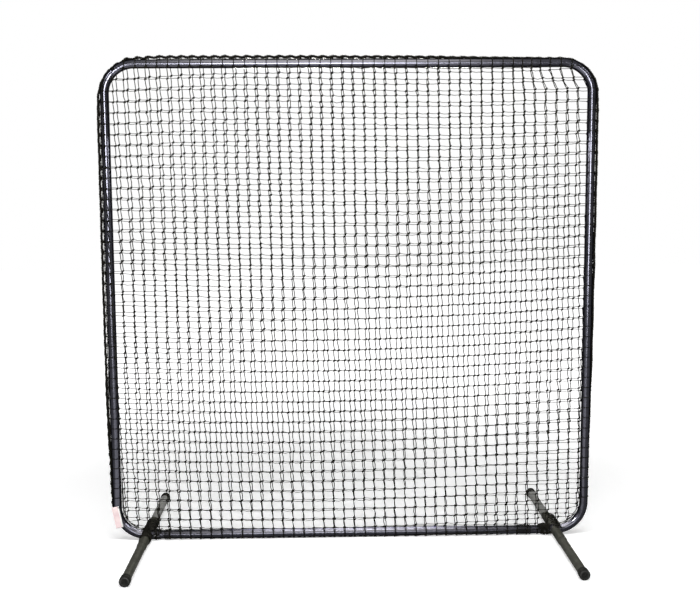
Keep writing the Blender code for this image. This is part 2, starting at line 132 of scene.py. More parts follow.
# %% [markdown]
# ## Floor, backdrop and lamps
# The studio is plain: a pale floor without a horizon and soft lamps. The floor adds a little
# light of its own where the camera or a reflection looks at it, so that it melts into the white
# world and still keeps the shadow under the feet. One helper adds the nodes, here and later.

# %% Adding nodes
def add(tree, kind, wired=(), **settings):
    """The outputs of a new node. wired gives its inputs, each a value or another node's output."""
    made = tree.nodes.new(kind)
    for name, value in settings.items():
        setattr(made, name, value)
    for socket, value in dict(wired).items():
        if isinstance(value, bpy.types.NodeSocket):
            tree.links.new(value, made.inputs[socket])
        else:
            made.inputs[socket].default_value = value
    return made.outputs


def mapped(tree, value, low, high, start=0.3, stop=0.7, **settings):
    """Turns a value between start and stop into one between low and high."""
    wired = {"Value": value, "From Min": start, "From Max": stop, "To Min": low, "To Max": high}
    return add(tree, "ShaderNodeMapRange", wired, **settings)["Result"]


def seen_directly(tree):
    """1 for what the camera, a reflection or a clear pass sees, and 0 for the rest."""
    path = add(tree, "ShaderNodeLightPath")
    total = path["Is Camera Ray"]
    for ray in ("Is Glossy Ray", "Is Transmission Ray"):
        total = add(tree, "ShaderNodeMath", {0: total, 1: path[ray]}, operation="MAXIMUM")[0]
    return total


def empty_tree(owner):
    owner.use_nodes = True
    owner.node_tree.nodes.clear()
    return owner.node_tree


# %% Floor and world
FLOOR_HALF = 14.0
FLOOR_COLOUR = (0.86, 0.86, 0.86, 1)
LIFT_NEAR = 0.42  # the floor's own light under the screen, where it keeps the shadow
LIFT_FAR = 1.0
FADE_START = 1.3  # how far out the near value ends and the far one begins
FADE_END = 4.2
WORLD_FILL = 0.15

floor_corners = [(x * FLOOR_HALF, y * FLOOR_HALF, 0) for x, y in ((-1, -1), (1, -1), (1, 1), (-1, 1))]
floor_mesh = bpy.data.meshes.new("floor")
floor_mesh.from_pydata(floor_corners, [], [(0, 1, 2, 3)])
floor = new_object("floor", floor_mesh)
floor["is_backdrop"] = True

pale = bpy.data.materials.new("pale_floor")
tree = empty_tree(pale)
place = add(tree, "ShaderNodeTexCoord")["Object"]
away = add(tree, "ShaderNodeVectorMath", {0: place}, operation="LENGTH")["Value"]
fade = mapped(tree, away, LIFT_NEAR, LIFT_FAR, FADE_START, FADE_END, interpolation_type="SMOOTHSTEP")
amount = add(tree, "ShaderNodeMath", {0: seen_directly(tree), 1: fade}, operation="MULTIPLY")[0]
own_light = add(tree, "ShaderNodeEmission", {"Strength": amount})[0]
matt = add(tree, "ShaderNodeBsdfDiffuse", {"Color": FLOOR_COLOUR})[0]
both = add(tree, "ShaderNodeAddShader", {0: matt, 1: own_light})[0]
add(tree, "ShaderNodeOutputMaterial", {"Surface": both})
floor_mesh.materials.append(pale)

world = bpy.data.worlds.new("studio")
bpy.context.scene.world = world
tree = empty_tree(world)
level = mapped(tree, seen_directly(tree), WORLD_FILL, 1.0, 0.0, 1.0)
glow = add(tree, "ShaderNodeBackground", {"Color": (1, 1, 1, 1), "Strength": level})[0]
add(tree, "ShaderNodeOutputWorld", {"Surface": glow})


# %% Lamps
def softbox(name, place, aim, size, watts, for_gloss, tint=(1, 1, 1), fan=180):
    """A soft lamp that gives either the light on the colours or the shine in the gloss."""
    lamp = bpy.data.lights.new(name, "AREA")
    lamp.shape = "RECTANGLE"
    lamp.size, lamp.size_y = size
    lamp.energy = watts
    lamp.color = tint
    lamp.spread = radians(fan)
    made = new_object(name, lamp)
    made.location = place
    made.rotation_mode = "QUATERNION"
    made.rotation_quaternion = (Vector(aim) - Vector(place)).to_track_quat("-Z", "Y")
    made.visible_diffuse = not for_gloss
    made.visible_glossy = for_gloss
    made.visible_camera = False


WARM = (1.0, 0.97, 0.86)
softbox("front_bank", (-0.4, -8.0, 2.35), (-0.1, 0, 1.4), (3.9, 1.4), 366, False)
softbox("overhead_bank", (0.0, -1.8, 4.6), (0, -0.1, 1.0), (5.0, 1.2), 200, False)
softbox("front_shine", (-0.35, -8.0, 1.98), (-0.35, 0, 2.88), (2.5, 2.84), 200, True, fan=44)
softbox("floor_shine", (-0.3, -3.7, 0.03), (-0.3, -3.69, 3.0), (2.6, 6.8), 215, True)
softbox("ceiling_shine", (-0.1, -4.4, 5.0), (-0.1, -4.4, 0), (2.0, 9.0), 1000, True, WARM)
softbox("side_ceiling_shine", (-0.1, -4.4, 5.1), (-0.1, -4.4, 0), (6.0, 9.0), 130, True)
softbox("back_shine", (0.05, 1.7, 1.95), (0.05, 0, 0), (1.4, 2.0), 1000, True, WARM)
softbox("low_rail_shine", (0.12, -0.45, 1.8), (0.12, -0.45, 0), (1.25, 0.32), 160, True)
for side, name, watts in ((-1, "left_corner_shine", 30), (1, "right_corner_shine", 80)):
    softbox(name, (-side * 4.3, -4.0, 4.4), (side * 1.0, 0, 0.1), (1.0, 1.0), watts, True, fan=30)

bpy.context.scene.view_settings.view_transform = "Standard"
print("ten lamps and a pale floor")


# %% [markdown]
# ## Finishes
# Each finish is the real one's, but for a painted reflection on the feet: gloss powder coat on the
# frame with the faint dimple of such coats, a dull olive coat on the feet, painted pale behind the
# frame as painted reflection, moulded vinyl on the caps, black zinc on the fasteners, tarred twine,
# laid rope and a woven label.

# %% Material helpers
def inside(look):
    """A material's nodes and the inputs of its shader."""
    return look.node_tree, look.node_tree.nodes["Principled BSDF"].inputs


def noise(tree, scale, detail):
    """Noise in the piece's own space, which is the model's."""
    place = add(tree, "ShaderNodeTexCoord")["Object"]
    return add(tree, "ShaderNodeTexNoise", {"Vector": place, "Scale": scale, "Detail": detail})["Fac"]


def two_colours(tree, value, first, second):
    """A mix of two plain colours, or of two mixed ones."""
    wired = {"Factor": value}
    for label, colour in (("A", first), ("B", second)):
        wired[label] = (*colour, 1) if isinstance(colour, tuple) else colour
    return add(tree, "ShaderNodeMix", wired, data_type="RGBA")["Result"]


def bump(look, height, depth, strength):
    tree, shader = inside(look)
    wired = {"Height": height, "Distance": depth, "Strength": strength}
    tree.links.new(add(tree, "ShaderNodeBump", wired)["Normal"], shader["Normal"])


def finish(name, colour, roughness, mottle=None, wear=None, dimple=None, plain=()):
    """A material. Noise of a (scale, detail) can vary its colour, its roughness and its surface."""
    made = bpy.data.materials.new(name)
    made.use_nodes = True
    tree, shader = inside(made)
    values = {"Base Color": (*colour, 1), "Roughness": roughness, **dict(plain)}
    for label, value in values.items():
        shader[label].default_value = value
    if mottle:
        grain, first, second = mottle
        share = mapped(tree, noise(tree, *grain), 0.0, 1.0)
        tree.links.new(two_colours(tree, share, first, second), shader["Base Color"])
    if wear:
        grain, low, high = wear
        tree.links.new(mapped(tree, noise(tree, *grain), low, high), shader["Roughness"])
    if dimple:
        grain, depth, strength = dimple
        bump(made, noise(tree, *grain), depth, strength)
    return made


# %% Powder coat, sleeve coat, vinyl and zinc
powder = finish(
    "gloss_powder_coat", (0.012, 0.012, 0.017), 0.2,
    mottle=((5.0, 3.0), (0.019, 0.019, 0.023), (0.023, 0.023, 0.028)),
    wear=((9.0, 4.0), 0.19, 0.26),
    dimple=((420.0, 2.0), 0.00012, 0.35),
    plain={"Metallic": 1.0, "Specular Tint": (0.05, 0.05, 0.06, 1)},
)
sleeve_coat = finish(
    "sleeve_coat", (0.02, 0.02, 0.017), 0.45,
    mottle=((30.0, 4.0), (0.040, 0.040, 0.033), (0.056, 0.056, 0.046)),
    wear=((60.0, 3.0), 0.36, 0.5),
    dimple=((500.0, 2.0), 0.00012, 0.5),
    plain={"IOR": 1.02},
)
vinyl = finish(
    "moulded_vinyl", (0.012, 0.012, 0.011), 0.5,
    mottle=((160.0, 3.0), (0.008, 0.008, 0.008), (0.02, 0.02, 0.018)),
    wear=((160.0, 3.0), 0.42, 0.62),
    dimple=((160.0, 3.0), 0.0003, 0.5),
    plain={"IOR": 1.02},
)
worn_vinyl = finish(
    "worn_vinyl", (0.014, 0.014, 0.013), 0.26,
    dimple=((160.0, 3.0), 0.0002, 0.4),
    plain={"IOR": 1.22},
)
zinc = finish(
    "black_zinc", (0.05, 0.05, 0.055), 0.38,
    wear=((300.0, 3.0), 0.28, 0.5),
    dimple=((700.0, 2.0), 0.0001, 0.4),
    plain={"Metallic": 0.85},
)

# %% The coat of the feet, dark in front and painted pale behind, as painted reflection
# How far behind the frame the painted reflection begins, and where it is whole
PAINTED_PALE_FROM, PAINTED_PALE_WHOLE = 0.06, 0.26  # how far behind the frame
foot_coat_with_painted_reflection = finish(
    "rubbed_foot_coat", (0.07, 0.07, 0.058), 0.5,
    wear=((60.0, 3.0), 0.42, 0.6),
    dimple=((500.0, 2.0), 0.00015, 0.5),
    plain={"IOR": 1.02},
)
tree, shader = inside(foot_coat_with_painted_reflection)
place = add(tree, "ShaderNodeTexCoord")["Object"]
along = add(tree, "ShaderNodeSeparateXYZ", {0: place})["Y"]
# Behind the frame the colour is painted pale: a painted reflection, mixed in by the place along Y
rear = mapped(tree, along, 0.0, 1.0, PAINTED_PALE_FROM, PAINTED_PALE_WHOLE)
share = mapped(tree, noise(tree, 34.0, 5.0), 0.0, 1.0, 0.25, 0.75)
front_coat = two_colours(tree, share, (0.043, 0.043, 0.036), (0.071, 0.071, 0.060))
painted_reflection_coat = two_colours(tree, share, (0.24, 0.24, 0.228), (0.36, 0.36, 0.345))
tree.links.new(two_colours(tree, rear, front_coat, painted_reflection_coat), shader["Base Color"])


# %% Twine, rope and label
def strand_bump(look, scale, depth):
    """The slanted ridges of twisted strands, in the model's space."""
    tree, _ = inside(look)
    place = add(tree, "ShaderNodeTexCoord")["Object"]
    wired = {"Vector": place, "Scale": scale, "Distortion": 1.5}
    ridge = add(tree, "ShaderNodeTexWave", wired, bands_direction="DIAGONAL")["Fac"]
    bump(look, ridge, depth, 0.8)


twine = finish(
    "tarred_twine", (0.012, 0.012, 0.010), 0.7,
    mottle=((25.0, 4.0), (0.004, 0.004, 0.003), (0.013, 0.012, 0.009)),
    plain={"IOR": 1.05},
)
strand_bump(twine, 60.0, 0.0006)
rope_look = finish(
    "edge_rope", (0.012, 0.012, 0.012), 0.75,
    mottle=((40.0, 4.0), (0.004, 0.004, 0.004), (0.013, 0.012, 0.010)),
    plain={"IOR": 1.05},
)
strand_bump(rope_look, 90.0, 0.0005)
label = finish(
    "woven_label", (0.76, 0.60, 0.60), 0.85,
    mottle=((45.0, 3.0), (0.80, 0.66, 0.655), (0.72, 0.53, 0.54)),
    plain={"Sheen Weight": 0.3},
)
tree, _ = inside(label)
place = add(tree, "ShaderNodeTexCoord")["Object"]
bump(label, add(tree, "ShaderNodeTexChecker", {"Vector": place, "Scale": 1500.0})["Fac"], 0.0002, 0.6)
label_back = finish(
    "woven_label_back", (0.82, 0.80, 0.78), 0.85,
    mottle=((60.0, 3.0), (0.84, 0.82, 0.80), (0.74, 0.71, 0.70)),
    plain={"Sheen Weight": 0.3},
)
print("ten finishes made, besides the floor's")


# %% [markdown]
# ## Smooth tube
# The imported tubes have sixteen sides, which is enough for contact but shows as stripes in gloss
# coat. Each is made again as a hollow ring section swept along its own middle line, with its ends
# eased by less than half a millimetre so that the joints catch a thin line of light.

# %% Making a piece
SHARP = radians(38)
TUBE_SIDES = 48
END_EASE = 0.0004


def outward_mesh(name, points, faces):
    """A mesh whose faces are all turned outwards."""
    mesh = bpy.data.meshes.new(name)
    mesh.from_pydata([tuple(p) for p in points], [], faces)
    shape = bmesh.new()
    shape.from_mesh(mesh)
    bmesh.ops.recalc_face_normals(shape, faces=shape.faces)
    shape.to_mesh(mesh)
    shape.free()
    return mesh


def rides(made, body, replaces=()):
    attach(made, body)
    if replaces:
        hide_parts(*replaces)
    return made


def piece(name, points, faces, look, body, replaces=()):
    """A named piece from points and faces, smooth but for its edges, riding on its body."""
    mesh = outward_mesh(name, points, faces)
    mesh.shade_smooth()
    mesh.set_sharp_from_angle(angle=SHARP)
    mesh.materials.append(look)
    return rides(new_object(name, mesh), body, replaces)


# %% Rings and the faces between them
def ring(centre, first, second, radius, sides):
    """Points round a centre, in the plane of two unit directions."""
    turns = [tau * k / sides for k in range(sides)]
    return [centre + (first * cos(t) + second * sin(t)) * radius for t in turns]


def skin(rings, closed):
    """Quads between rings of equal count; open ends get one face each."""
    count = len(rings[0])
    faces = []
    for at in range(len(rings) if closed else len(rings) - 1):
        first = at * count
        second = (at + 1) % len(rings) * count
        for k in range(count):
            after = (k + 1) % count
            faces.append((first + k, first + after, second + after, second + k))
    if not closed:
        faces.append(tuple(range(count)))
        faces.append(tuple(range((len(rings) - 1) * count, len(rings) * count)))
    return faces


# %% A hollow tube along a path
def hollow_tube(path, radius, wall, across):
    """Rings of a hollow tube along (point, direction) places, outside first and then the bore."""
    across = Vector(across)
    first_point, first_way = path[0]
    last_point, last_way = path[-1]
    places = [(first_point, first_way, radius - END_EASE)]
    places.append((first_point + first_way * END_EASE, first_way, radius))
    places += [(point, way, radius) for point, way in path[1:-1]]
    places.append((last_point - last_way * END_EASE, last_way, radius))
    places.append((last_point, last_way, radius - END_EASE))
    places += [(point, way, radius - wall) for point, way in reversed(path)]
    return [ring(point, way.cross(across), across, size, TUBE_SIDES) for point, way, size in places]


def flat(rings):
    return [point for one in rings for point in one]


# %% Rails
def straight(start, stop):
    start, stop = Vector(start), Vector(stop)
    way = (stop - start).normalized()
    return [(start, way), (stop, way)]


def rail(node, axis, body="frame", radius=TUBE_RADIUS, look=powder):
    """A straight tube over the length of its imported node."""
    low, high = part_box(node)
    start, stop = (low + high) / 2, (low + high) / 2
    start[axis], stop[axis] = low[axis], high[axis]
    across = (0, 0, 1) if axis == 1 else (0, 1, 0)
    rings = hollow_tube(straight(start, stop), radius, TUBE_WALL, across)
    return piece(node + "_smooth", flat(rings), skin(rings, True), look, body, (node,))


rail("top_rail", 0)
rail("bottom_rail", 0)
for side in ("left", "right"):
    rail(side + "_rail", 2)
    rail(side + "_foot_sleeve", 1, radius=SLEEVE_RADIUS, look=sleeve_coat)
    rail(side + "_foot_tube", 1, side + "_foot", look=foot_coat_with_painted_reflection)
print("straight tubes done")


# %% [markdown]
# ## Bent corners and sockets
# A corner is bent from one piece of tube, so its middle line is a quarter circle with a straight
# leg at one end or both. The bottom corners and the sockets end on the round sleeve of a foot:
# their last ring is slid along the tube until it lies on the sleeve, as a saddle cut does.

# %% Corners
BEND_STEPS = 28
SADDLE_SINK = 0.0006  # how far the saddle goes into the sleeve's wall


def corner_path(side, level, flat_end, upright_end):
    """From the end of the flat leg round to the end of the upright one."""
    middle = Vector((side * INNER_X, 0, MIDDLE_Z + level * (TOP_Z - MIDDLE_Z - BEND_RADIUS)))
    path = [(Vector((flat_end, 0, MIDDLE_Z + level * (TOP_Z - MIDDLE_Z))), Vector((side, 0, 0)))]
    for step in range(BEND_STEPS + 1):
        turn = pi / 2 * step / BEND_STEPS
        out = Vector((side * sin(turn), 0, level * cos(turn)))
        way = Vector((side * cos(turn), 0, -level * sin(turn)))
        path.append((middle + out * BEND_RADIUS, way))
    path.append((Vector((side * SIDE_X, 0, upright_end)), Vector((0, 0, -level))))
    return path


# %% The saddle cut
def saddle(points, side, outward):
    """Slides points along X that lie past the sleeve's surface back to it."""
    for point in points:
        height = point.z - LOW_Z
        reach = sqrt(max(0.0, (SLEEVE_RADIUS - SADDLE_SINK) ** 2 - height ** 2))
        limit = side * FOOT_X + outward * side * reach
        if (point.x - limit) * side * outward < 0:
            point.x = limit
    return points


def bent(name, path, radius, node, side=0, outward=0):
    """Tube along a path, cut to lie on the sleeve if outward says on which side of it."""
    rings = hollow_tube(path, radius, TUBE_WALL, (0, 1, 0))
    points = flat(rings)
    if outward:
        saddle(points, side, outward)
    piece(name, points, skin(rings, True), powder, "frame", (node,))


# %% The four corners and two sockets
JOINT_GAP = 0.0003  # shows as a fine line at each slip joint
SOCKET_RADIUS = SLEEVE_RADIUS - 0.0002
BEND_FROM_FOOT = 0.002  # where a tube ends beside a foot's middle line, before it is cut
SOCKET_FROM_FOOT = 0.0005
top_rail_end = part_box("top_rail")[1].x + JOINT_GAP
side_low, side_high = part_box("right_rail")
for name, side in SIDES:
    path = corner_path(side, 1, side * top_rail_end, side_high.z + JOINT_GAP)
    bent(f"top_{name}_bend", path, TUBE_RADIUS, f"top_{name}_elbow")
    path = corner_path(side, -1, side * (FOOT_X + BEND_FROM_FOOT), side_low.z - JOINT_GAP)
    bent(f"bottom_{name}_bend", path, TUBE_RADIUS, f"bottom_{name}_elbow", side, 1)
    stop = (side * (FOOT_X - SOCKET_FROM_FOOT), 0, LOW_Z)
    path = straight((side * MOUTH_X, 0, LOW_Z), stop)
    bent(f"{name}_socket", path, SOCKET_RADIUS, f"{name}_rail_socket", side, -1)
print("corners and sockets done")


# %% [markdown]
# ## Caps
# A cap is a shape of revolution: a thick rounded end, a moulded groove and a thinner sleeve that
# grips the tube. Turning one outline about the foot's axis gives all of it, with the bore. A
# raised ring on the end face is polished by wear and catches two thin arcs of light.

# %% Caps
CAP_SIDES = 56
CAP_SHRINK = 0.998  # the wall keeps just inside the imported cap's
RING_REACH = (0.0146, 0.0186)  # where the worn ring starts and ends on the end face
FACE_DEPTH = 0.002
CAP_OUTLINE = (
    # radius and distance from the end face, in millimetres
    (0.0, 0.9), (14.6, 0.9), (15.4, 0.45), (16.2, 0.1), (17.0, 0.1), (17.8, 0.5), (18.6, 1.0),
    (20.4, 1.0), (21.5, 1.3), (22.3, 1.8), (22.8, 2.5), (23.0, 3.4), (23.0, 21.2), (22.8, 21.8),
    (22.3, 22.1), (21.8, 22.4), (21.7, 22.9), (21.9, 23.5), (22.3, 23.8), (22.4, 24.4), (22.4, 37.2),
    (22.2, 37.8), (21.8, 38.0), (19.5, 38.0), (19.35, 37.7), (19.35, 4.0), (0.0, 4.0),
)


# %% Turning an outline
def turned(outline, origin, way, sides):
    """Turns an outline of (radius, distance) about a line; a radius of 0 closes to a point."""
    first = way.orthogonal().normalized()
    second = way.cross(first)
    points, faces, rows = [], [], []
    for radius, distance in outline:
        centre = origin + way * distance
        row = [len(points)] if radius == 0 else list(range(len(points), len(points) + sides))
        points += [centre] if radius == 0 else ring(centre, first, second, radius, sides)
        rows.append(row)
    for row, after in zip(rows, rows[1:]):
        for k in range(sides):
            corners = [row[k % len(row)], row[(k + 1) % len(row)]]
            corners += [after[(k + 1) % len(after)], after[k % len(after)]]
            faces.append(tuple(dict.fromkeys(corners)))
    return points, faces


# %% Four caps with their worn rings
outline = [(radius / 1000 * CAP_SHRINK, distance / 1000) for radius, distance in CAP_OUTLINE]
for side in ("left", "right"):
    for end, way in (("front", 1), ("rear", -1)):
        low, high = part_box(f"{side}_{end}_cap")
        origin = Vector(((low.x + high.x) / 2, low.y if way > 0 else high.y, LOW_Z))
        points, faces = turned(outline, origin, Vector((0, way, 0)), CAP_SIDES)
        name = f"{side}_{end}_vinyl_cap"
        cap = piece(name, points, faces, vinyl, side + "_foot", (f"{side}_{end}_cap",))
        cap.data.materials.append(worn_vinyl)
        for flank in cap.data.polygons:
            from_axis = flank.center - origin
            on_face = abs(from_axis.y) < FACE_DEPTH
            if on_face and RING_REACH[0] < hypot(from_axis.x, from_axis.z) < RING_REACH[1]:
                flank.material_index = 1
print("four caps done")


# %% [markdown]
# ## Trees that grow cords and set out copies
# Netting, rope, lacing, welds and fasteners are one shape repeated or one shape along a line, so
# two small trees of Geometry Nodes make them all. The first turns every line of a mesh into a
# round cord. The second sets a copy of a pattern on every point, with its own turn and size.
# The result is baked to a plain mesh, because the export drops instances.

# %% The two trees
def new_tree(name, sockets):
    made = bpy.data.node_groups.new(name, "GeometryNodeTree")
    made.is_modifier = True
    made.interface.new_socket("Geometry", in_out="INPUT", socket_type="NodeSocketGeometry")
    for label, kind in sockets.items():
        made.interface.new_socket(label, in_out="INPUT", socket_type="NodeSocket" + kind)
    made.interface.new_socket("Geometry", in_out="OUTPUT", socket_type="NodeSocketGeometry")
    return made, made.nodes.new("NodeGroupInput").outputs


def end_of_tree(tree, geometry, look):
    """Every tree ends the same way: real geometry, smooth, with its finish."""
    real = add(tree, "GeometryNodeRealizeInstances", {"Geometry": geometry})[0]
    smooth = add(tree, "GeometryNodeSetShadeSmooth", {"Geometry": real})[0]
    painted = add(tree, "GeometryNodeSetMaterial", {"Geometry": smooth, "Material": look})[0]
    add(tree, "NodeGroupOutput", {"Geometry": painted})


cord_tree, given = new_tree(
    "cord_along_lines", {"Diameter": "Float", "Sides": "Int", "Finish": "Material"})
curve = add(cord_tree, "GeometryNodeMeshToCurve", {"Mesh": given["Geometry"]})["Curve"]
half = add(cord_tree, "ShaderNodeMath", {0: given["Diameter"], 1: 0.5}, operation="MULTIPLY")[0]
wired = {"Resolution": given["Sides"], "Radius": half}
profile = add(cord_tree, "GeometryNodeCurvePrimitiveCircle", wired)["Curve"]
wired = {"Curve": curve, "Profile Curve": profile, "Fill Caps": True}
swept_cord = add(cord_tree, "GeometryNodeCurveToMesh", wired)["Mesh"]
end_of_tree(cord_tree, swept_cord, given["Finish"])

copy_tree, given = new_tree("copies_on_points", {"Pattern": "Object", "Finish": "Material"})
own = {}
for name, kind in (("turn", "FLOAT_VECTOR"), ("own_size", "FLOAT")):
    attribute = add(copy_tree, "GeometryNodeInputNamedAttribute", {"Name": name}, data_type=kind)
    own[name] = attribute["Attribute"]
wired = {
    "Points": given["Geometry"],
    "Instance": add(copy_tree, "GeometryNodeObjectInfo", {"Object": given["Pattern"]})["Geometry"],
    "Rotation": add(copy_tree, "FunctionNodeEulerToRotation", {"Euler": own["turn"]})["Rotation"],
    "Scale": own["own_size"],
}
placed = add(copy_tree, "GeometryNodeInstanceOnPoints", wired)["Instances"]
end_of_tree(copy_tree, placed, given["Finish"])


# %% Growing a piece from a tree
def grow(name, seed_mesh, tree, values, replaces):
    """Runs a tree on a mesh and keeps the result as a plain mesh on the frame."""
    seedling = new_object(name + "_seed", seed_mesh)
    modifier = seedling.modifiers.new("grow", "NODES")
    modifier.node_group = tree
    for item in tree.interface.items_tree:
        if item.item_type == "SOCKET" and item.in_out == "INPUT" and item.name in values:
            modifier[item.identifier] = values[item.name]
    bpy.context.view_layer.update()
    graph = bpy.context.evaluated_depsgraph_get()
    mesh = bpy.data.meshes.new_from_object(seedling.evaluated_get(graph))
    bpy.data.objects.remove(seedling)
    mesh.name = name
    print(f"{name}: {sum(len(face.vertices) - 2 for face in mesh.polygons)} triangles")
    return rides(new_object(name, mesh), "frame", replaces)


# %% Cords and copies
def cords(name, lines, diameter, sides, look, replaces=()):
    """Round cords along lists of points."""
    points, edges = [], []
    for line in lines:
        start = len(points)
        points += [tuple(p) for p in line]
        edges += [(start + k, start + k + 1) for k in range(len(line) - 1)]
    mesh = bpy.data.meshes.new(name)
    mesh.from_pydata(points, edges, [])
    values = {"Diameter": diameter, "Sides": sides, "Finish": look}
    return grow(name, mesh, cord_tree, values, replaces)


def copies(name, pattern, places, look, replaces=()):
    """Copies of a pattern at (point, turn, own size) places."""
    mesh = bpy.data.meshes.new(name)
    mesh.from_pydata([tuple(point) for point, turn, own in places], [], [])
    turns = mesh.attributes.new("turn", "FLOAT_VECTOR", "POINT")
    turns.data.foreach_set("vector", [number for point, turn, own in places for number in turn])
    sizes = mesh.attributes.new("own_size", "FLOAT", "POINT")
    sizes.data.foreach_set("value", [own for point, turn, own in places])
    values = {"Pattern": pattern, "Finish": look}
    return grow(name, mesh, copy_tree, values, replaces)


# %% [markdown]
# ## How the net has settled
# A hung net doesn't keep an even grid. It sags by its own weight and follows the pull of its
# edges, and the two layers have slipped past each other, which gives the screen its cloudy
# pattern. Four short tables say how far the columns and rows have drifted from an even grid and
# how far the layers have parted. They hold factors of the powers of u, the place across, and of
# v, the height, both from -1 to 1.

# %% The net's own grid
MESH = 0.0461
SCREEN_HALF = 1.05
COLUMN_DRIFT = (
    (0.445, 0.187, 0.028, 0.045),
    (0.032, -0.053, 0.088),
    (0.044, -0.051),
    (-0.155,),
)
COLUMN_PARTING = (
    (-0.256, 0.650, -0.243),
    (-0.309, -0.114),
    (0.003,),
)
ROW_DRIFT = (
    (0.480, 0.012, -0.008, -0.003, -0.430),
    (-0.245, 0.334, 0.250, -0.105),
    (-0.649, 0.272, 0.453),
    (-0.162, -0.350),
    (0.065,),
)
ROW_PARTING = (
    (0.084, 0.489, 0.108, -0.181),
    (-0.215, -0.280, 0.176),
    (0.378, -0.296),
    (-0.064,),
)
TABLES_SIDE = 1.0  # how far out the tables hold, and between which heights
TABLES_LOW, TABLES_TOP = 0.06, 2.06
TOP_PARTING = 0.2  # the parting's change along the top edge, at the sides
TOP_PARTING_FROM = 0.35  # the v from which it shows
EDGE_RAISE = 0.006  # the front layer's lowest row is laced up clear of the rail
TOP_PULL = 0.030  # how far the last meshes at the top right are drawn to the left
PULL_ACROSS = (0.66, 0.92)  # where that sets in and where it is whole
PULL_UP = (-0.12, -0.03)  # the same in height, from the top rail
SETTLING = 6  # rounds after which a knot's place and its drift agree
# The tables hold for the tubes' plane as the camera sees it; a layer lies this share off it
LAYER_SHIFT = 0.0046
FRONT_COLUMNS, FRONT_ROWS = range(-22, 23), range(0, 46)
BACK_COLUMNS, BACK_ROWS = range(-21, 24), range(1, 47)


# %% From a knot's number to its place
def held(value, low, high):
    return max(low, min(high, value))


def step_up(value, start, stop):
    """Eases from 0 at start to 1 at stop."""
    share = held((value - start) / (stop - start), 0.0, 1.0)
    return share * share * (3 - 2 * share)


def sum_of(table, u, v):
    return sum(factor * u ** a * v ** b for a, row in enumerate(table) for b, factor in enumerate(row))


def drifts(x, z, facing):
    """How many meshes a layer's column and row numbers are ahead of an even grid here."""
    u = held(x, -TABLES_SIDE, TABLES_SIDE) / SCREEN_HALF
    v = (held(z, TABLES_LOW, TABLES_TOP) - MIDDLE_Z) / SCREEN_HALF
    parting = sum_of(COLUMN_PARTING, u, v) + TOP_PARTING * u * step_up(v, TOP_PARTING_FROM, 1.0)
    column = sum_of(COLUMN_DRIFT, u, v) - facing * parting / 2
    row = sum_of(ROW_DRIFT, u, v) + facing * sum_of(ROW_PARTING, u, v) / 2
    return column, row


def numbers_at(x, z, facing):
    """The column and row number at a flat place; whole numbers are cords."""
    column, row = drifts(x, z, facing)
    return x / MESH + column, z / MESH + row


def flat_knot(i, j, facing):
    """The flat place of the knot in column i and row j of a layer. facing is -1 in front."""
    x, z = MESH * i, MESH * j
    for _ in range(SETTLING):
        column, row = drifts(x, z, facing)
        x, z = MESH * (i - column), MESH * (j - row)
    x -= TOP_PULL * step_up(x, *PULL_ACROSS) * step_up(z, TOP_Z + PULL_UP[0], TOP_Z + PULL_UP[1])
    x += facing * LAYER_SHIFT * (x - CAMERA_PLACE[0])
    z += facing * LAYER_SHIFT * (z - CAMERA_PLACE[2])
    if facing < 0 and j == 1:
        z += EDGE_RAISE
    return x, z


print("a knot near the middle lies at", [round(number, 3) for number in flat_knot(0, 23, -1)])


# %% [markdown]
# ## How a net lies on its frame
# Each layer of the net is a flat sheet of meshes that goes over the tubes at its edges and ends
# on the border rope. So the net is laid out flat first, as columns and rows of knots, and a flat
# place is then carried over to the frame: inside the tubes' middle line it stays in the layer's
# plane, past it the cord bends round the tube, and from the tube it runs straight to the rope.

# %% The rope's distance from the tube
COLUMN_TWINE = 0.0041
ROW_TWINE = 0.0027
LAYER = TUBE_RADIUS + 0.0023  # a layer's middle to the tubes' middle
STRAND = 0.0058
STRAND_OFFSET = 0.0032
ROPE_RADIUS = STRAND_OFFSET + STRAND / 2
ROPE_TOUCH = TUBE_RADIUS + ROPE_RADIUS + 0.0003  # between the middles of tube and rope
# How far the rope's middle lies out from the tube's, by height at the sides
ROPE_LEFT = (
    (0.16, 0.0222), (0.25, 0.0236), (0.36, 0.0250), (0.62, 0.0312),
    (1.20, 0.0312), (1.90, 0.0292), (2.00, 0.0240),
)
ROPE_RIGHT = ((0.16, 0.0165), (0.80, 0.0243), (1.70, 0.0262), (2.00, 0.0250))
# And by the place along the top
ROPE_TOP = (
    (-0.93, 0.0238), (-0.80, 0.0292), (-0.20, 0.0285),
    (0.30, 0.0262), (0.75, 0.0208), (0.93, 0.0190),
)
ROPE_CORNER_DIP = 0.0045  # it is drawn in round the top left bend
TUCK_START = radians(12)  # where it goes behind the lower bends
TUCK_STOP = radians(60)
TUCKED = 0.0066
SCALLOP_TOP = 0.0023  # how far it waves from column to column
SCALLOP_FADE = 0.6  # how much of that is lost towards the right
FADES_ACROSS = (-0.2, 0.7)  # from where to where
SCALLOP_SIDE = 0.0009  # and from row to row
SCALLOP_OUT = (0.35, 0.5)  # how far past a column or a row it is furthest out, in meshes
TOP_RUN = 0.02  # how far below the top rail's middle the rope still counts as the top's


# %% Where the rope lies
def from_table(value, table):
    return float(np.interp(value, [row[0] for row in table], [row[1] for row in table]))


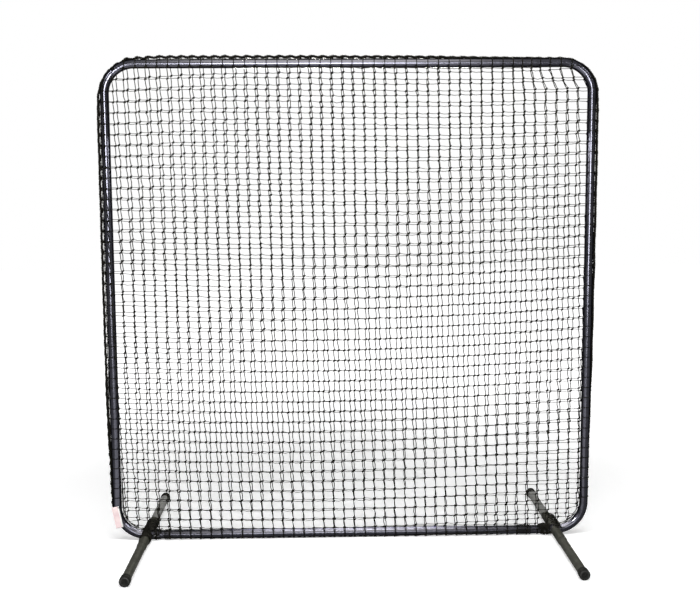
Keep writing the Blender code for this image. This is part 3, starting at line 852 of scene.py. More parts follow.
def rope_place(x, z):
    """The rope's distance out from the tubes' middle line, and behind it."""
    column, row = numbers_at(x, z, -1)
    wave = 0.0004 * sin(47.0 * (x + 0.6 * z))
    if z > TOP_Z - TOP_RUN:
        fade = 1 - SCALLOP_FADE * step_up(x, *FADES_ACROSS)
        wave += SCALLOP_TOP * cos(tau * (column - SCALLOP_OUT[0])) * fade
    elif x < 0:
        wave += SCALLOP_SIDE * cos(tau * (row - SCALLOP_OUT[1]))
    out = from_table(z, ROPE_LEFT if x < 0 else ROPE_RIGHT)
    if z > MIDDLE_Z:
        rise = max(0.0, z - TOP_Z + BEND_RADIUS)
        turn = atan2(rise, max(0.0, abs(x) - INNER_X))
        out += (from_table(x, ROPE_TOP) - out) * step_up(turn, 0, pi / 2)
        if x < 0:
            out -= ROPE_CORNER_DIP * sin(2 * turn)
        out += wave
    else:
        turn = atan2(LOW_Z + BEND_RADIUS - z, max(0.001, abs(x) - INNER_X))
        tuck = step_up(turn, TUCK_START, TUCK_STOP)
        out += wave * (1 - tuck) + (TUCKED - out) * tuck
    return out, sqrt(max(0.0, ROPE_TOUCH ** 2 - out ** 2))


# %% Over the tube and out to the rope
def outside(x, z):
    """How far a flat place lies past the tubes' middle line, and which way is out."""
    across = abs(x) - INNER_X
    upward = abs(z - MIDDLE_Z) - (TOP_Z - MIDDLE_Z - BEND_RADIUS)
    sign_x = copysign(1, x)
    sign_z = copysign(1, z - MIDDLE_Z)
    if across > 0 and upward > 0:
        reach = hypot(across, upward)
        return reach - BEND_RADIUS, Vector((sign_x * across / reach, 0, sign_z * upward / reach))
    if across > upward:
        return across - BEND_RADIUS, Vector((sign_x, 0, 0))
    return upward - BEND_RADIUS, Vector((0, 0, sign_z))


# %% From the flat to the frame
def on_frame(x, z, facing, out_limit=None):
    """Carries a flat place of one layer to its place on the frame. facing is -1 in front."""
    distance, out = outside(x, z)
    foot = Vector((x, 0, z)) - out * distance
    if distance <= 0:
        return Vector((x, facing * LAYER, z)), True
    rope_out, rope_back = rope_place(foot.x, foot.z)
    behind = rope_back if facing < 0 else -rope_back
    reach = hypot(rope_out, behind)
    leave = atan2(behind, rope_out) - acos(LAYER / reach) + pi / 2
    turn = distance / LAYER
    if turn <= leave or out_limit:
        turn = min(turn, out_limit or turn)
        place = foot + out * (LAYER * sin(turn))
        place.y = facing * LAYER * cos(turn)
        return place, True
    run = sqrt(reach * reach - LAYER * LAYER)
    along = min(1.0, (distance - LAYER * leave) / run)
    start = foot + out * (LAYER * sin(leave))
    start.y = facing * LAYER * cos(leave)
    stop = foot + out * rope_out
    stop.y = rope_back
    return start.lerp(stop, along), along < 1.0


# %% [markdown]
# ## Columns, rows and knots
# A square net of this kind is tied with sheet bends. Each knot sits aslant: its cords enter low
# on the left and leave high on the right, so the cords between knots lean a little.

# %% Knots of a layer
KNOT_LEAN = 0.0022  # from a knot's middle to where its cords leave it, sideways
KNOT_RISE = 0.0016
ROW_RISE = 0.0010
WRAP_FRONT = radians(82)  # how far the cords go round the bottom rail
WRAP_BACK = radians(62)
TIED_X = MOUTH_X - 0.012  # columns past this end on the gathered corner
ROWS_STOP = 0.003  # and rows this much before it
INNER_EDGE = 0.0245  # from the tubes' middle line to the gathered edge
GATHER_Y = 0.004
GATHER_END = 0.985  # the furthest a column ends across, as a share of the edge's own bend
LAST_KNOT = 0.026  # knots further out than this would be in the rope
STEP_OUT = 0.0055
MOST_STEPS = 80
KNOT_DRIFT = 0.0009  # how far a knot lies off its place at random
rng = random.Random(41)
rope_ties = []


def layer_knots(facing):
    """Places of the knots of a layer, with the small irregularities of a tied net."""
    columns = FRONT_COLUMNS if facing < 0 else BACK_COLUMNS
    rows = FRONT_ROWS if facing < 0 else BACK_ROWS
    knots = {}
    for i in columns:
        for j in rows:
            x, z = flat_knot(i, j, facing)
            x += rng.gauss(0, KNOT_DRIFT)
            z += rng.gauss(0, KNOT_DRIFT)
            distance, _ = outside(x, z)
            in_corner = abs(x) > TIED_X and z < LOW_Z + BEND_RADIUS and distance > -INNER_EDGE
            if distance < LAST_KNOT and not in_corner:
                knots[i, j] = (x, z)
    return knots


# %% Where cords end
def lift(point, facing, amount):
    """Moves a point of a layer off its plane, away from the other layer."""
    return Vector((point.x, point.y + facing * amount, point.z))


def run_out(x, z, way, facing, limit=None):
    """Points of a cord from its last knot over the tube to the rope, or partway round it."""
    points = []
    for step in range(1, MOST_STEPS):
        fx = x + way[0] * step * STEP_OUT
        fz = z + way[1] * step * STEP_OUT
        distance, out = outside(fx, fz)
        point, more = on_frame(fx, fz, facing, limit)
        points.append(point)
        if limit and distance > LAYER * limit:
            break
        if not more:
            rope_ties.append((point, out))
            break
    return points


def on_inner_bend(x=None, z=None, side=1):
    """The gathered edge inside a lower bend, over a place across or beside a height."""
    reach = BEND_RADIUS - INNER_EDGE
    if z is None:
        x = min(abs(x), INNER_X + reach * GATHER_END)
        drop = sqrt(reach ** 2 - max(0.0, x - INNER_X) ** 2)
        return Vector((side * x, GATHER_Y, LOW_Z + BEND_RADIUS - drop))
    drop = LOW_Z + BEND_RADIUS - z
    return Vector((side * (INNER_X + sqrt(max(0.0, reach ** 2 - drop ** 2))), GATHER_Y, z))


# %% Cords of a layer
COLUMN_SWAY = 0.0012  # how far the middle of a span lies to one side at random
ROW_SAG = (0.0008, 0.0012)  # how far it hangs down: the mean and the spread
COLUMN_SLACK = 0.0015  # how far it stands off the other layer
ROW_SLACK = 0.0012


def through_knots(knots, mine, upright, facing):
    """A cord from its first knot to its last, with a little slack in every span."""
    rise = KNOT_RISE if upright else ROW_RISE
    line = []
    for i, j in mine:
        x, z = knots[i, j]
        line.append(on_frame(x - KNOT_LEAN, z - rise, facing)[0])
        line.append(on_frame(x + KNOT_LEAN, z + rise, facing)[0])
        after = (i, j + 1) if upright else (i + 1, j)
        if after in knots:
            x2, z2 = knots[after]
            sway = rng.gauss(0, COLUMN_SWAY) if upright else 0.0
            sag = 0.0 if upright else abs(rng.gauss(*ROW_SAG))
            middle, _ = on_frame((x + x2) / 2 + sway, (z + z2) / 2 - sag, facing)
            slack = abs(rng.gauss(0, COLUMN_SLACK if upright else ROW_SLACK))
            line.append(lift(middle, facing, slack))
    return line


# %% Columns, rows and whole layers
def column_line(knots, i, facing):
    """One upright cord, from under the bottom rail or its corner up to the rope."""
    mine = sorted(key for key in knots if key[0] == i)
    x, z = knots[mine[0]]
    if abs(x) < TIED_X:
        start = run_out(x, z, (0, -1), facing, WRAP_FRONT if facing < 0 else WRAP_BACK)[::-1]
    else:
        start = [on_inner_bend(x=x, side=copysign(1, x))]
    x, z = knots[mine[-1]]
    end = run_out(x + KNOT_LEAN, z + KNOT_RISE, (0, 1), facing)
    return start + through_knots(knots, mine, True, facing) + end


def row_end(x, z, side, facing):
    """The end of a row: into the lashing on the rail, into the corner or out to the rope."""
    x, z = x + side * KNOT_LEAN, z + side * ROW_RISE
    if z < LOW_Z + INNER_EDGE and abs(x) < TIED_X:
        return [on_frame(side * (TIED_X - ROWS_STOP), z, facing)[0]]
    if z < LOW_Z + BEND_RADIUS:
        return [on_inner_bend(z=max(z, LOW_Z + INNER_EDGE), side=side)]
    return run_out(x, z, (side, 0), facing)


def row_line(knots, j, facing):
    """One level cord, with its two ends."""
    mine = sorted(key for key in knots if key[1] == j)
    start = row_end(*knots[mine[0]], -1, facing)[::-1]
    end = row_end(*knots[mine[-1]], 1, facing)
    return start + through_knots(knots, mine, False, facing) + end


def net_layer(name, facing):
    """One layer of the net: its columns and its rows. Gives back the knots' flat places."""
    knots = layer_knots(facing)
    columns = [column_line(knots, i, facing) for i in sorted({i for i, j in knots})]
    rows = [row_line(knots, j, facing) for j in sorted({j for i, j in knots})]
    cords(name + "_columns", columns, COLUMN_TWINE, 6, twine, replaces=(name,))
    cords(name + "_rows", rows, ROW_TWINE, 6, twine)
    return knots.values()


# %% Patterns that are cords themselves
ASIDE = Vector((0, 1, 0.3))  # a direction that no pattern's cord runs along
END_TAPER = 0.7


def swept(points, radius, sides):
    """A short thick cord through points, closed at both ends."""
    rings = []
    for k, point in enumerate(points):
        way = (points[min(k + 1, len(points) - 1)] - points[max(k - 1, 0)]).normalized()
        first = way.cross(ASIDE).normalized()
        end = k in (0, len(points) - 1)
        rings.append(ring(point, first, way.cross(first), radius * (END_TAPER if end else 1.0), sides))
    return flat(rings), skin(rings, False)


def cord_pattern(name, *runs):
    """A shape to be copied, of (points, radius, sides) runs of thick cord in millimetres."""
    points, faces = [], []
    for line, radius, sides in runs:
        run_points, run_faces = swept([Vector(p) for p in line], radius, sides)
        faces += [tuple(k + len(points) for k in face) for face in run_faces]
        points += [p / 1000 for p in run_points]
    return new_object(name, outward_mesh(name, points, faces))


# %% The knots: a slanted core and the bight that is tied round it
KNOT_CORE = ((-4.6, 0, -3.0), (-1.8, -0.7, -1.5), (1.8, -0.7, 1.5), (4.6, 0, 3.0))
KNOT_BIGHT = (
    (-2.8, 0.2, 1.9), (-0.8, -2.3, 2.0), (2.1, -2.4, -0.5),
    (2.4, 0.5, -2.5), (-0.5, 2.3, -1.8), (-2.5, 1.5, 0.8),
)
KNOT_SIZES = (1.17, 1.37)
KNOT_TURNS = (0.12, 0.18, 0.12)  # how far knots turn at random, in radians
KNOT_OFF = 0.0012  # knots stand off the tubes a little more than the cords do
KNOT_REACH = 0.0072  # a knot's own half size, kept above the floor
knot = cord_pattern("knot_pattern", (KNOT_CORE, 1.9, 5), (KNOT_BIGHT, 1.5, 5))
for name, facing in (("front_net", -1), ("back_net", 1)):
    places = net_layer(name, facing)
    set_out = []
    for x, z in places:
        point = lift(on_frame(x, z, facing)[0], facing, KNOT_OFF)
        point.z = max(point.z, KNOT_REACH)
        turn = [rng.gauss(0, most) for most in KNOT_TURNS]
        set_out.append((point, turn, rng.uniform(*KNOT_SIZES)))
    copies(name + "_knots", knot, set_out, twine)
bpy.data.objects.remove(knot)


# %% [markdown]
# ## Border rope
# The rope is laid from three strands, and every cord of the net ends on it with a few turns of
# twine. The strands are three helices round one waving middle line, so the lay of the rope is
# real geometry. The seizings are small coils, copied to every place where a cord meets the rope.

# %% The rope's middle line
ROPE_PAST_SIDE = radians(62)  # how far round the lower bends it goes before it turns back
ROPE_END_Y = 0.085
TAIL_BESIDE = 0.0066  # from the sleeve's wall to the rope's middle
ROPE_SPACING = 0.0035
ROPE_BEND = BEND_RADIUS + 0.03  # about the rope's own bend, to count the places on it
TAIL_STEPS = 30
TAIL_LEAVES = (0.0159, 0.0034, -0.0084)  # from its start to the curve's first handle
TAIL_ARRIVES = (0.0008, 0.058, 0.0205)  # the second handle, its x counted from the curve's end
STRANDS = 3
LAY_LENGTH = 0.032


def rope_tail(start, side):
    """One smooth curve from the lower bend to the sleeve's side, as (point, out) places."""
    stop = Vector((side * (FOOT_X + SLEEVE_RADIUS + TAIL_BESIDE), ROPE_END_Y, LOW_Z))
    first = start + Vector((-side * TAIL_LEAVES[0], *TAIL_LEAVES[1:]))
    second = Vector((stop.x + side * TAIL_ARRIVES[0], *TAIL_ARRIVES[1:]))
    out = Vector((side, 0, -0.2)).normalized()
    places = []
    for step in range(1, TAIL_STEPS + 1):
        t = step / TAIL_STEPS
        point = start * (1 - t) ** 3 + first * (3 * t * (1 - t) ** 2)
        point += second * (3 * t * t * (1 - t)) + stop * t ** 3
        places.append((point, out))
    return places


# %% The rope round the frame
def rope_line():
    """Points of the rope's middle with the outward direction, from lower left to lower right."""
    low_bend = LOW_Z + BEND_RADIUS
    high_bend = TOP_Z - BEND_RADIUS
    stations = []

    def arc(cx, cz, start, stop):
        count = max(2, round(abs(stop - start) * ROPE_BEND / ROPE_SPACING))
        for k in range(count):
            turn = start + (stop - start) * k / count
            out = Vector((cos(turn), 0, sin(turn)))
            stations.append((Vector((cx, 0, cz)) + out * BEND_RADIUS, out))

    def run(start, stop, out):
        start, stop = Vector(start), Vector(stop)
        count = round((stop - start).length / ROPE_SPACING)
        for k in range(count):
            stations.append((start.lerp(stop, k / count), Vector(out)))

    arc(-INNER_X, low_bend, pi + ROPE_PAST_SIDE, pi)
    run((-SIDE_X, 0, low_bend), (-SIDE_X, 0, high_bend), (-1, 0, 0))
    arc(-INNER_X, high_bend, pi, pi / 2)
    run((-INNER_X, 0, TOP_Z), (INNER_X, 0, TOP_Z), (0, 0, 1))
    arc(INNER_X, high_bend, pi / 2, 0)
    run((SIDE_X, 0, high_bend), (SIDE_X, 0, low_bend), (1, 0, 0))
    arc(INNER_X, low_bend, 0, -ROPE_PAST_SIDE)
    line = []
    for foot, out in stations:
        reach, behind = rope_place(foot.x, foot.z)
        line.append((foot + out * reach + Vector((0, behind, 0)), out))
    return line


# %% The strands, wound round the middle line
def strand_line(line, strand):
    """The middle of one strand of the rope."""
    points = []
    travelled = 0.0
    for k, (point, out) in enumerate(line):
        way = (line[min(k + 1, len(line) - 1)][0] - line[max(k - 1, 0)][0]).normalized()
        across = way.cross(out).normalized()
        outward = across.cross(way)
        if k:
            travelled += (point - line[k - 1][0]).length
        turn = tau * (travelled / LAY_LENGTH + strand / STRANDS)
        points.append(point + (outward * cos(turn) + across * sin(turn)) * STRAND_OFFSET)
    return points


line = rope_line()
line = rope_tail(line[0][0], -1)[::-1] + line + rope_tail(line[-1][0], 1)
strands = [strand_line(line, strand) for strand in range(STRANDS)]
cords("border_rope_strands", strands, STRAND, 7, rope_look, ("border_rope",))

# %% Seizings
COIL_TURNS = 2.6
HUGS_PAST = 0.002  # where the rope lies further behind than this, its seizings are tight
COIL_STEPS = 19
COIL_TWINE = 1.0  # its radius in millimetres
COIL_SIZES = (0.92, 1.06)
ON_TOP = 0.7  # on the top run the way out points up by at least this


def coil(inward, outward, across, length):
    """Turns of twine round the rope, in millimetres; inward says how far they reach to the tube."""
    middle = (outward - inward) / 2
    half = (outward + inward) / 2
    points = []
    for k in range(COIL_STEPS):
        share = k / (COIL_STEPS - 1)
        turn = tau * COIL_TURNS * share
        points.append(((share - 0.5) * length, across * sin(turn), middle + half * cos(turn)))
    return points


# %% Setting out the seizings
rng = random.Random(7)
top_places, side_places, close_places = [], [], []
for point, out in rope_ties:
    tilt = atan2(out.x, out.z)
    turn = (rng.gauss(0, 0.1), tilt + rng.gauss(0, 0.1), rng.gauss(0, 0.12))
    hugging = point.y > HUGS_PAST
    where = close_places if hugging else top_places if out.z > ON_TOP else side_places
    where.append((point, turn, rng.uniform(*COIL_SIZES)))
SEIZINGS = (
    ("top_seizings", top_places, (8.4, 6.9, 6.9, 9.5)),
    ("side_seizings", side_places, (10.9, 6.9, 6.9, 12.5)),
    ("close_seizings", close_places, (6.9, 6.9, 6.9, 11.0)),
)
for name, places, sizes in SEIZINGS:
    pattern = cord_pattern(name + "_pattern", (coil(*sizes), COIL_TWINE, 4))
    copies(name, pattern, places, twine)
    bpy.data.objects.remove(pattern)


# %% [markdown]
# ## Edge twine
# Up the left side and along the top the net is pulled so tight that its edge twine lies on the
# tube, inside the rope, and leaves only short slits of light between the two. Low on the left
# three more cords close the gap.

# %% Edge twine
EDGE_TWINE = 0.0024
EDGE_OUT = 0.0216
EDGE_LAY = 0.026
EDGE_HEIGHTS = [0.60 + k * 0.003 for k in range(460)]  # up to 1.98 m
LOW_HEIGHTS = [0.30 + k * 0.003 for k in range(160)]  # up to 0.78 m
LOW_CORDS = ((0.0204, 0.0052), (0.0240, 0.0060), (0.0268, 0.0042))  # furthest out, inside the rope
TOP_EDGE_OUT = 0.0206
TOP_PLACES = [-0.86 + k * 0.0035 for k in range(440)]
# Where each of them starts to be drawn in at its ends
EDGE_TUCK = (0.65, 1.93)
LOW_TUCK = (0.36, 0.72, 0.2)  # and how steeply
TOP_TUCK = (-0.81, 0.63)


def tucked_in(at, start, stop, slope=0.12):
    """How far a cord is drawn in towards the tube before its start and past its stop."""
    return slope * (max(0.0, start - at) + max(0.0, at - stop))


# %% Twine up the left side and along the top
left_cords = []
for half_turn in (0, pi):
    points = []
    for z in EDGE_HEIGHTS:
        turn = tau * z / EDGE_LAY + half_turn
        wave = 0.0005 * sin(31 * z) + 0.0004 * sin(83 * z)
        out = EDGE_OUT + wave + 0.0010 * cos(turn) - tucked_in(z, *EDGE_TUCK)
        points.append(Vector((-SIDE_X - out, 0.0012 * sin(turn), z)))
    left_cords.append(points)
for most, inside_rope in LOW_CORDS:
    points = []
    for z in LOW_HEIGHTS:
        out = min(most, from_table(z, ROPE_LEFT) - inside_rope) - tucked_in(z, *LOW_TUCK)
        points.append(Vector((-SIDE_X - out - 0.0006 * sin(70 * z), 0.0010 * cos(60 * z), z)))
    left_cords.append(points)
cords("left_edge_twine", left_cords, EDGE_TWINE, 6, twine)
top_cord = []
for x in TOP_PLACES:
    out = TOP_EDGE_OUT + 0.0002 * sin(41 * x) - tucked_in(x, *TOP_TUCK)
    top_cord.append(Vector((x, 0.0006 * sin(57 * x), TOP_Z + out)))
cords("top_edge_twine", [top_cord], EDGE_TWINE, 6, twine)


# %% [markdown]
# ## Bottom lacing
# The open bottom edge of the net is laced to the rail with one long cord: down in front beside a
# column, along under the rail to the next one, up behind and over. By each foot it ends in a
# lashing of close turns.

# %% Lacing
LACING = 0.0022
LACING_RADIUS = LAYER + 0.0008
TURN_STEPS = 20
MOVES_ON = (0.46, 0.58)  # the part of a turn, under the rail, in which it goes to the next column
LASHING_TURNS = (5, 11)  # at the left end and at the right one
LASHING_PITCH = 0.0052
BESIDE = 0.0032  # a turn lies this far right of its column


def lacing_line():
    """The cord's middle, from the left lashing to the right one."""
    stops = [flat_knot(i, 1, -1)[0] + BESIDE for i in FRONT_COLUMNS]
    first, last = LASHING_TURNS
    stops = [x for x in stops if first * LASHING_PITCH - TIED_X < x < TIED_X - last * LASHING_PITCH]
    lead = [stops[0] - LASHING_PITCH * (first - k) for k in range(first)]
    tail = [stops[-1] + LASHING_PITCH * (k + 1) for k in range(last)]
    stops = lead + stops + tail
    points = []
    for here, after in zip(stops, stops[1:] + [stops[-1]]):
        for step in range(TURN_STEPS):
            share = step / TURN_STEPS
            x = here + (after - here) * step_up(share, *MOVES_ON)
            turn = tau * share
            y, height = -LACING_RADIUS * sin(turn), LACING_RADIUS * cos(turn)
            points.append(Vector((x, y, LOW_Z + height)))
    return points


# %% Laying the cord
cords("lacing_cord", [lacing_line()], LACING, 6, rope_look, ("bottom_lacing",))

# %% Edge cord along the bottom of the rear layer
EDGE_CORD_STEPS = 160
EDGE_BEHIND, EDGE_ABOVE = LAYER * 0.87, LAYER * 0.49  # from the rail's middle
edge_line = []
for k in range(EDGE_CORD_STEPS + 1):
    x = -TIED_X + 2 * TIED_X * k / EDGE_CORD_STEPS
    wave = 0.0007 * sin(k * 1.9) + 0.0005 * sin(k * 0.7 + 1)
    edge_line.append(Vector((x, EDGE_BEHIND, LOW_Z + EDGE_ABOVE + wave)))
cords("net_bottom_edge", [edge_line], ROW_TWINE, 6, twine)


# %% [markdown]
# ## Gathered corners
# At the feet the net can't go round the frame, so its corners are bunched up, led along the
# inside of the bends and bound on the sleeves behind the frame. A bunch is many loops of twine
# at slightly different sizes and slants.

# %% Bunches on the sleeves and sockets
FLOOR_CLEAR = 0.0012
LOOP_STEPS = 22
GATHERED_TWINE = 0.0026
CORNER_TWINE = 0.0027
SNUG = 0.0018  # how far the twine's middle lies off a sleeve or a socket
LOOP_SLANT = 0.010  # how far a loop leans along its sleeve at random
UP, RIGHT, BACK = Vector((0, 0, 1)), Vector((1, 0, 0)), Vector((0, 1, 0))
OVER = (-58, 238)  # in degrees: all round but underneath, where the floor is
rng = random.Random(23)


def bunch(start, stop, first, proud, loops, span, loose):
    """Loops about the line from start to stop. span is the part of the circle they cover."""
    start, stop = Vector(start), Vector(stop)
    way = (stop - start).normalized()
    length = (stop - start).length
    from_turn, to_turn = radians(span[0]), radians(span[1])
    made = []
    for _ in range(loops):
        at = start + way * (length * rng.random())
        size = SLEEVE_RADIUS + proud + abs(rng.gauss(0, loose))
        slant = rng.gauss(0, LOOP_SLANT)
        phase = rng.uniform(0, 6.3)
        loop = []
        for step in range(LOOP_STEPS + 1):
            turn = from_turn + (to_turn - from_turn) * step / LOOP_STEPS
            wobble = 0.0016 * sin(3 * turn + phase) + 0.0009 * sin(7 * turn + 2 * phase)
            point = at + (first * cos(turn) + UP * sin(turn)) * (size + wobble)
            point += way * (slant * sin(turn + phase))
            point.z = max(point.z, FLOOR_CLEAR + ROW_TWINE / 2)
            loop.append(point)
        made.append(loop)
    return made


# %% Both gathered corners
# The left corner is wound over the crossing to the front, the right one hangs on the outer side
SLEEVE_WINDINGS = {
    # from and to along the sleeve, loops, how far off it and how loose
    "left": ((0.026, 0.152, 36, 0.0014, 0.0015), (-0.086, -0.020, 26, 0.0012, 0.0011)),
    "right": ((0.026, 0.150, 36, 0.0014, 0.0015),),
}
SOCKET_WINDINGS = {"left": (0.862, 0.893, 12), "right": (0.846, 0.896, 44)}
HANGS_ASIDE = {"left": 0.0, "right": 0.0085}
for name, side in SIDES:
    x = side * FOOT_X + HANGS_ASIDE[name]
    loops = []
    for start, stop, count, proud, loose in SLEEVE_WINDINGS[name]:
        loops += bunch((x, start, LOW_Z), (x, stop, LOW_Z), RIGHT, proud, count, OVER, loose)
    loops += bunch((x, -0.030, LOW_Z), (x, 0.030, LOW_Z), RIGHT, SNUG, 26, (38, 142), 0.0013)
    near, far, count = SOCKET_WINDINGS[name]
    start, stop = (side * near, 0, LOW_Z), (side * far, 0, LOW_Z)
    loops += bunch(start, stop, BACK, SNUG, count, (-42, 222), 0.0024)
    cords(name + "_gathered_net", loops, GATHERED_TWINE, 5, twine)


# %% Cords along the inside of the bottom bends
LEG_STEPS = 11
LEG_END = 0.165  # the height at which they leave the left rail for the bend
BEND_CORD_STEPS = 24
BEND_CORD_END = 80  # degrees round the bend at which they end


def inner_bend_line(side, offset):
    """One cord round the inside of a lower bend. On the left it comes down along the rail first."""
    line = []
    top = 0.33 - 26 * offset
    for k in range(LEG_STEPS + 1 if side < 0 else 0):
        share = k / LEG_STEPS
        edge = 0.0212 + (0.0033 - offset) * share + 0.0004 * sin(k * 1.7 + offset * 900)
        height = top + (LEG_END - top) * share
        line.append(Vector((side * (SIDE_X - edge), 0.003 + 0.002 * sin(k * 0.9), height)))
    for k in range(BEND_CORD_STEPS + 1):
        turn = radians(BEND_CORD_END * k / BEND_CORD_STEPS)
        wobble = 0.0012 * sin(k * 1.3 + offset * 900) + offset
        reach = BEND_RADIUS - INNER_EDGE + wobble
        x = side * INNER_X + side * cos(turn) * reach
        z = LOW_Z + BEND_RADIUS - sin(turn) * reach
        line.append(Vector((x, 0.003 + 0.004 * sin(k * 0.9 + offset * 500), z)))
    return line


for name, side in SIDES:
    inner = [inner_bend_line(side, offset) for offset in (-0.0022, 0.0, 0.0021)]
    cords(name + "_corner_cords", inner, CORNER_TWINE, 6, twine)


# %% [markdown]
# ## Welds
# The sleeve, socket and corner tube of each foot are welded together. A weld bead is a row of
# small overlapping ripples along the line where two tubes meet.

# %% Weld beads
WELD_RIPPLES = 64
RIPPLE = ((-1.6, 0, 0), (-0.9, 0, 0), (0.9, 0, 0), (1.6, 0, 0))
WELD_LOWEST = 0.0022  # keeps the ripples off the floor
WELD_OFF = 0.0004  # their middle stands off the sleeve by this
TUBE_SEAM, SOCKET_SEAM = TUBE_RADIUS + 0.0006, SLEEVE_RADIUS + 0.0001  # the seams' radii
RIPPLE_SIZES = (0.8, 1.05)


def weld_line(side, outward, radius):
    """The line where a tube along X meets the sleeve of a foot."""
    line = []
    for k in range(WELD_RIPPLES):
        turn = tau * k / WELD_RIPPLES
        height = radius * sin(turn)
        reach = sqrt(max(0.0, (SLEEVE_RADIUS + WELD_OFF) ** 2 - height ** 2))
        x = side * (FOOT_X + outward * reach)
        line.append(Vector((x, radius * cos(turn), max(LOW_Z + height, WELD_LOWEST))))
    return line


# %% Two welds at each foot
bead = cord_pattern("bead_pattern", (RIPPLE, 1.5, 8))
rng = random.Random(3)
for name, side in SIDES:
    places = []
    for outward, radius in ((1, TUBE_SEAM), (-1, SOCKET_SEAM)):
        for point in weld_line(side, outward, radius):
            turn = (rng.uniform(0, 3), rng.uniform(-0.4, 0.4), rng.uniform(0, 3))
            places.append((point, turn, rng.uniform(*RIPPLE_SIZES)))
    copies(name + "_weld_beads", bead, places, powder)
bpy.data.objects.remove(bead)


# %% [markdown]
# ## Fasteners
# Two hexagon bolts hold the rail in each socket, with nuts behind, and a pan head screw holds
# each slip joint at the back. One pattern of each is turned up and set out on its places.

# %% Outlines of a bolt, a nut and a screw
FASTENER_SIDES = 24
SEAT = SLEEVE_RADIUS + 0.0003
NUT_SIDE = 2 * SEAT  # from the seat of a bolt's head to that of its nut
BOLT = (
    # half width, height and whether it is a hexagon there
    (0.0036, -0.0038, False), (0.0049, -0.0037, False), (0.005, -0.0031, True),
    (0.005, -0.0002, True), (0.0046, 0.0, False), (0.003, 0.0002, False),
    (0.003, NUT_SIDE + 0.0072, False), (0.0023, NUT_SIDE + 0.0079, False),
)
NUT = (
    (0.0033, 0.0, False), (0.0047, 0.0, False), (0.005, 0.0006, True),
    (0.005, 0.0044, True), (0.0047, 0.005, False), (0.0033, 0.005, False),
)
SCREW = (
    (0.0009, -0.011, False), (0.0023, -0.0087, False), (0.0023, -0.0001, False),
    (0.0046, 0.0, False), (0.0046, 0.0012, False), (0.0042, 0.0022, False),
    (0.0033, 0.0029, False), (0.0022, 0.0031, False), (0.0017, 0.0024, False), (0.0012, 0.0012, False),
)
BACKWARDS = (-pi / 2, 0, 0)


# %% One ring of a fastener
def fastener_ring(half_width, height, hexagonal):
    """A round or hexagonal ring about Z."""
    points = []
    for k in range(FASTENER_SIDES):
        turn = tau * k / FASTENER_SIDES
        from_flat = (turn + pi / 6) % (pi / 3) - pi / 6
        radius = half_width / cos(from_flat) if hexagonal else half_width
        points.append(Vector((radius * cos(turn), radius * sin(turn), height)))
    return points


# %% Bolts, nuts and screws
def fastener(name, outline, closed, nodes, plane):
    """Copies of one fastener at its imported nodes, pointing backwards."""
    rings = [fastener_ring(*row) for row in outline]
    mesh = outward_mesh(name + "_pattern", flat(rings), skin(rings, closed))
    pattern = new_object(mesh.name, mesh)
    places = []
    for node in nodes:
        middle = box_middle(node)
        places.append((Vector((middle.x, plane, middle.z)), BACKWARDS, 1.0))
    made = copies(name, pattern, places, zinc, nodes)
    made.data.set_sharp_from_angle(angle=SHARP)
    bpy.data.objects.remove(pattern)


holes = [f"{side}_{which}" for side in ("left", "right") for which in ("mouth", "sleeve")]
fastener("socket_bolts", BOLT, False, [hole + "_bolt" for hole in holes], -SEAT)
fastener("socket_nuts", NUT, True, [hole + "_nut" for hole in holes], SEAT)
screws = ["top_left_rail_screw", "top_right_rail_screw"]
screws += [f"{height}_{side}_side_screw" for height in ("upper", "lower") for side in ("left", "right")]
fastener("joint_screws", SCREW, False, screws, TUBE_RADIUS + 0.0002)


# %% [markdown]
# ## Label
# The label is a strip of woven tape folded in two and caught in the edge of the net at the lower
# left. Its two leaves don't quite cover each other, so the white inside shows at the right.

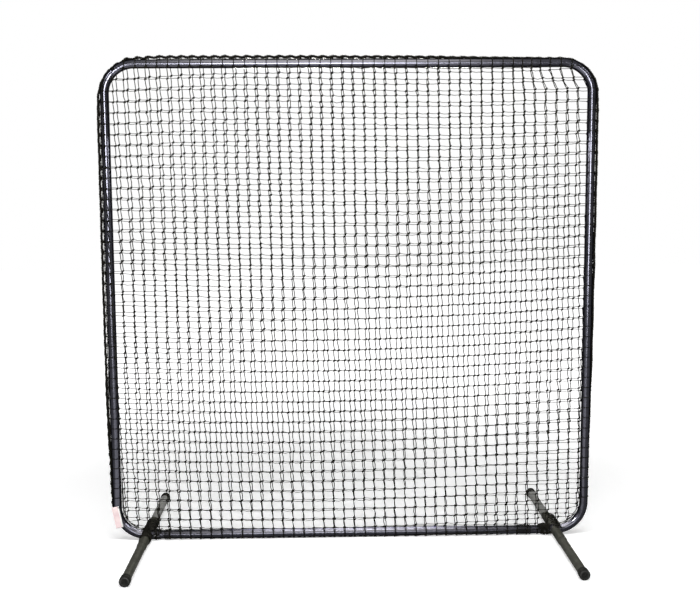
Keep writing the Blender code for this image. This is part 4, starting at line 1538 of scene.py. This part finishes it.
# %% Label
TAG_HALF_WIDTH = 0.0128
TAG_HALF_HEIGHT = 0.0485
TAG_LEAN = radians(11)
TAG_INWARD = 0.0027
TAG_UP = 0.006
TAG_THICKNESS = 0.0005
TAG_COLUMNS = 9
TAG_ROWS = 19
tag_low, tag_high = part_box("net_tag")
tag_middle = (tag_low + tag_high) / 2 + Vector((TAG_INWARD, 0, TAG_UP))


def leaf(offset, back, curl):
    """The points of one leaf of the label, leaning with the bend and slightly curled."""
    points = []
    for row in range(TAG_ROWS):
        v = row / (TAG_ROWS - 1) * 2 - 1
        for column in range(TAG_COLUMNS):
            u = column / (TAG_COLUMNS - 1) * 2 - 1
            x = u * TAG_HALF_WIDTH + offset
            z = v * TAG_HALF_HEIGHT
            ripple = 0.0004 * sin(5 * v + 2 * u)
            y = back - curl * (v * v) * 0.6 - curl * max(0.0, u) ** 2 * 0.5 + ripple
            turned_x = x * cos(TAG_LEAN) - z * sin(TAG_LEAN)
            turned_z = x * sin(TAG_LEAN) + z * cos(TAG_LEAN)
            points.append(Vector((tag_middle.x + turned_x, y, tag_middle.z + turned_z)))
    return points


# %% Both leaves, the fold and the cloth's thickness
points = leaf(0.0, tag_low.y + 0.0006, 0.0014) + leaf(0.0062, tag_low.y + 0.0022, 0.0008)
shift = TAG_ROWS * TAG_COLUMNS  # from a point of the front leaf to the same one of the back leaf
front_faces, back_faces, fold = [], [], []
for row in range(TAG_ROWS - 1):
    start, above = row * TAG_COLUMNS, (row + 1) * TAG_COLUMNS
    fold.append((start, above, shift + above, shift + start))
    for column in range(TAG_COLUMNS - 1):
        k, up = start + column, above + column
        front_faces.append((k, k + 1, up + 1, up))
        back_faces.append((shift + up, shift + up + 1, shift + k + 1, shift + k))
faces = front_faces + back_faces + fold
tag = piece("bare_label", points, faces, label, "frame", ("net_tag",))
tag.data.materials.append(label_back)
for face in tag.data.polygons:
    face.material_index = 1 if min(face.vertices) >= shift else 0
thick = tag.modifiers.new("thickness", "SOLIDIFY")
thick.thickness = TAG_THICKNESS
thick.offset = 0


# %% [markdown]
# ## The dressed box
# The box of everything shown, the floor left out, is printed.

# %% Finish
low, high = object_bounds()
print("dressed box", [round(side, 3) for side in high - low])
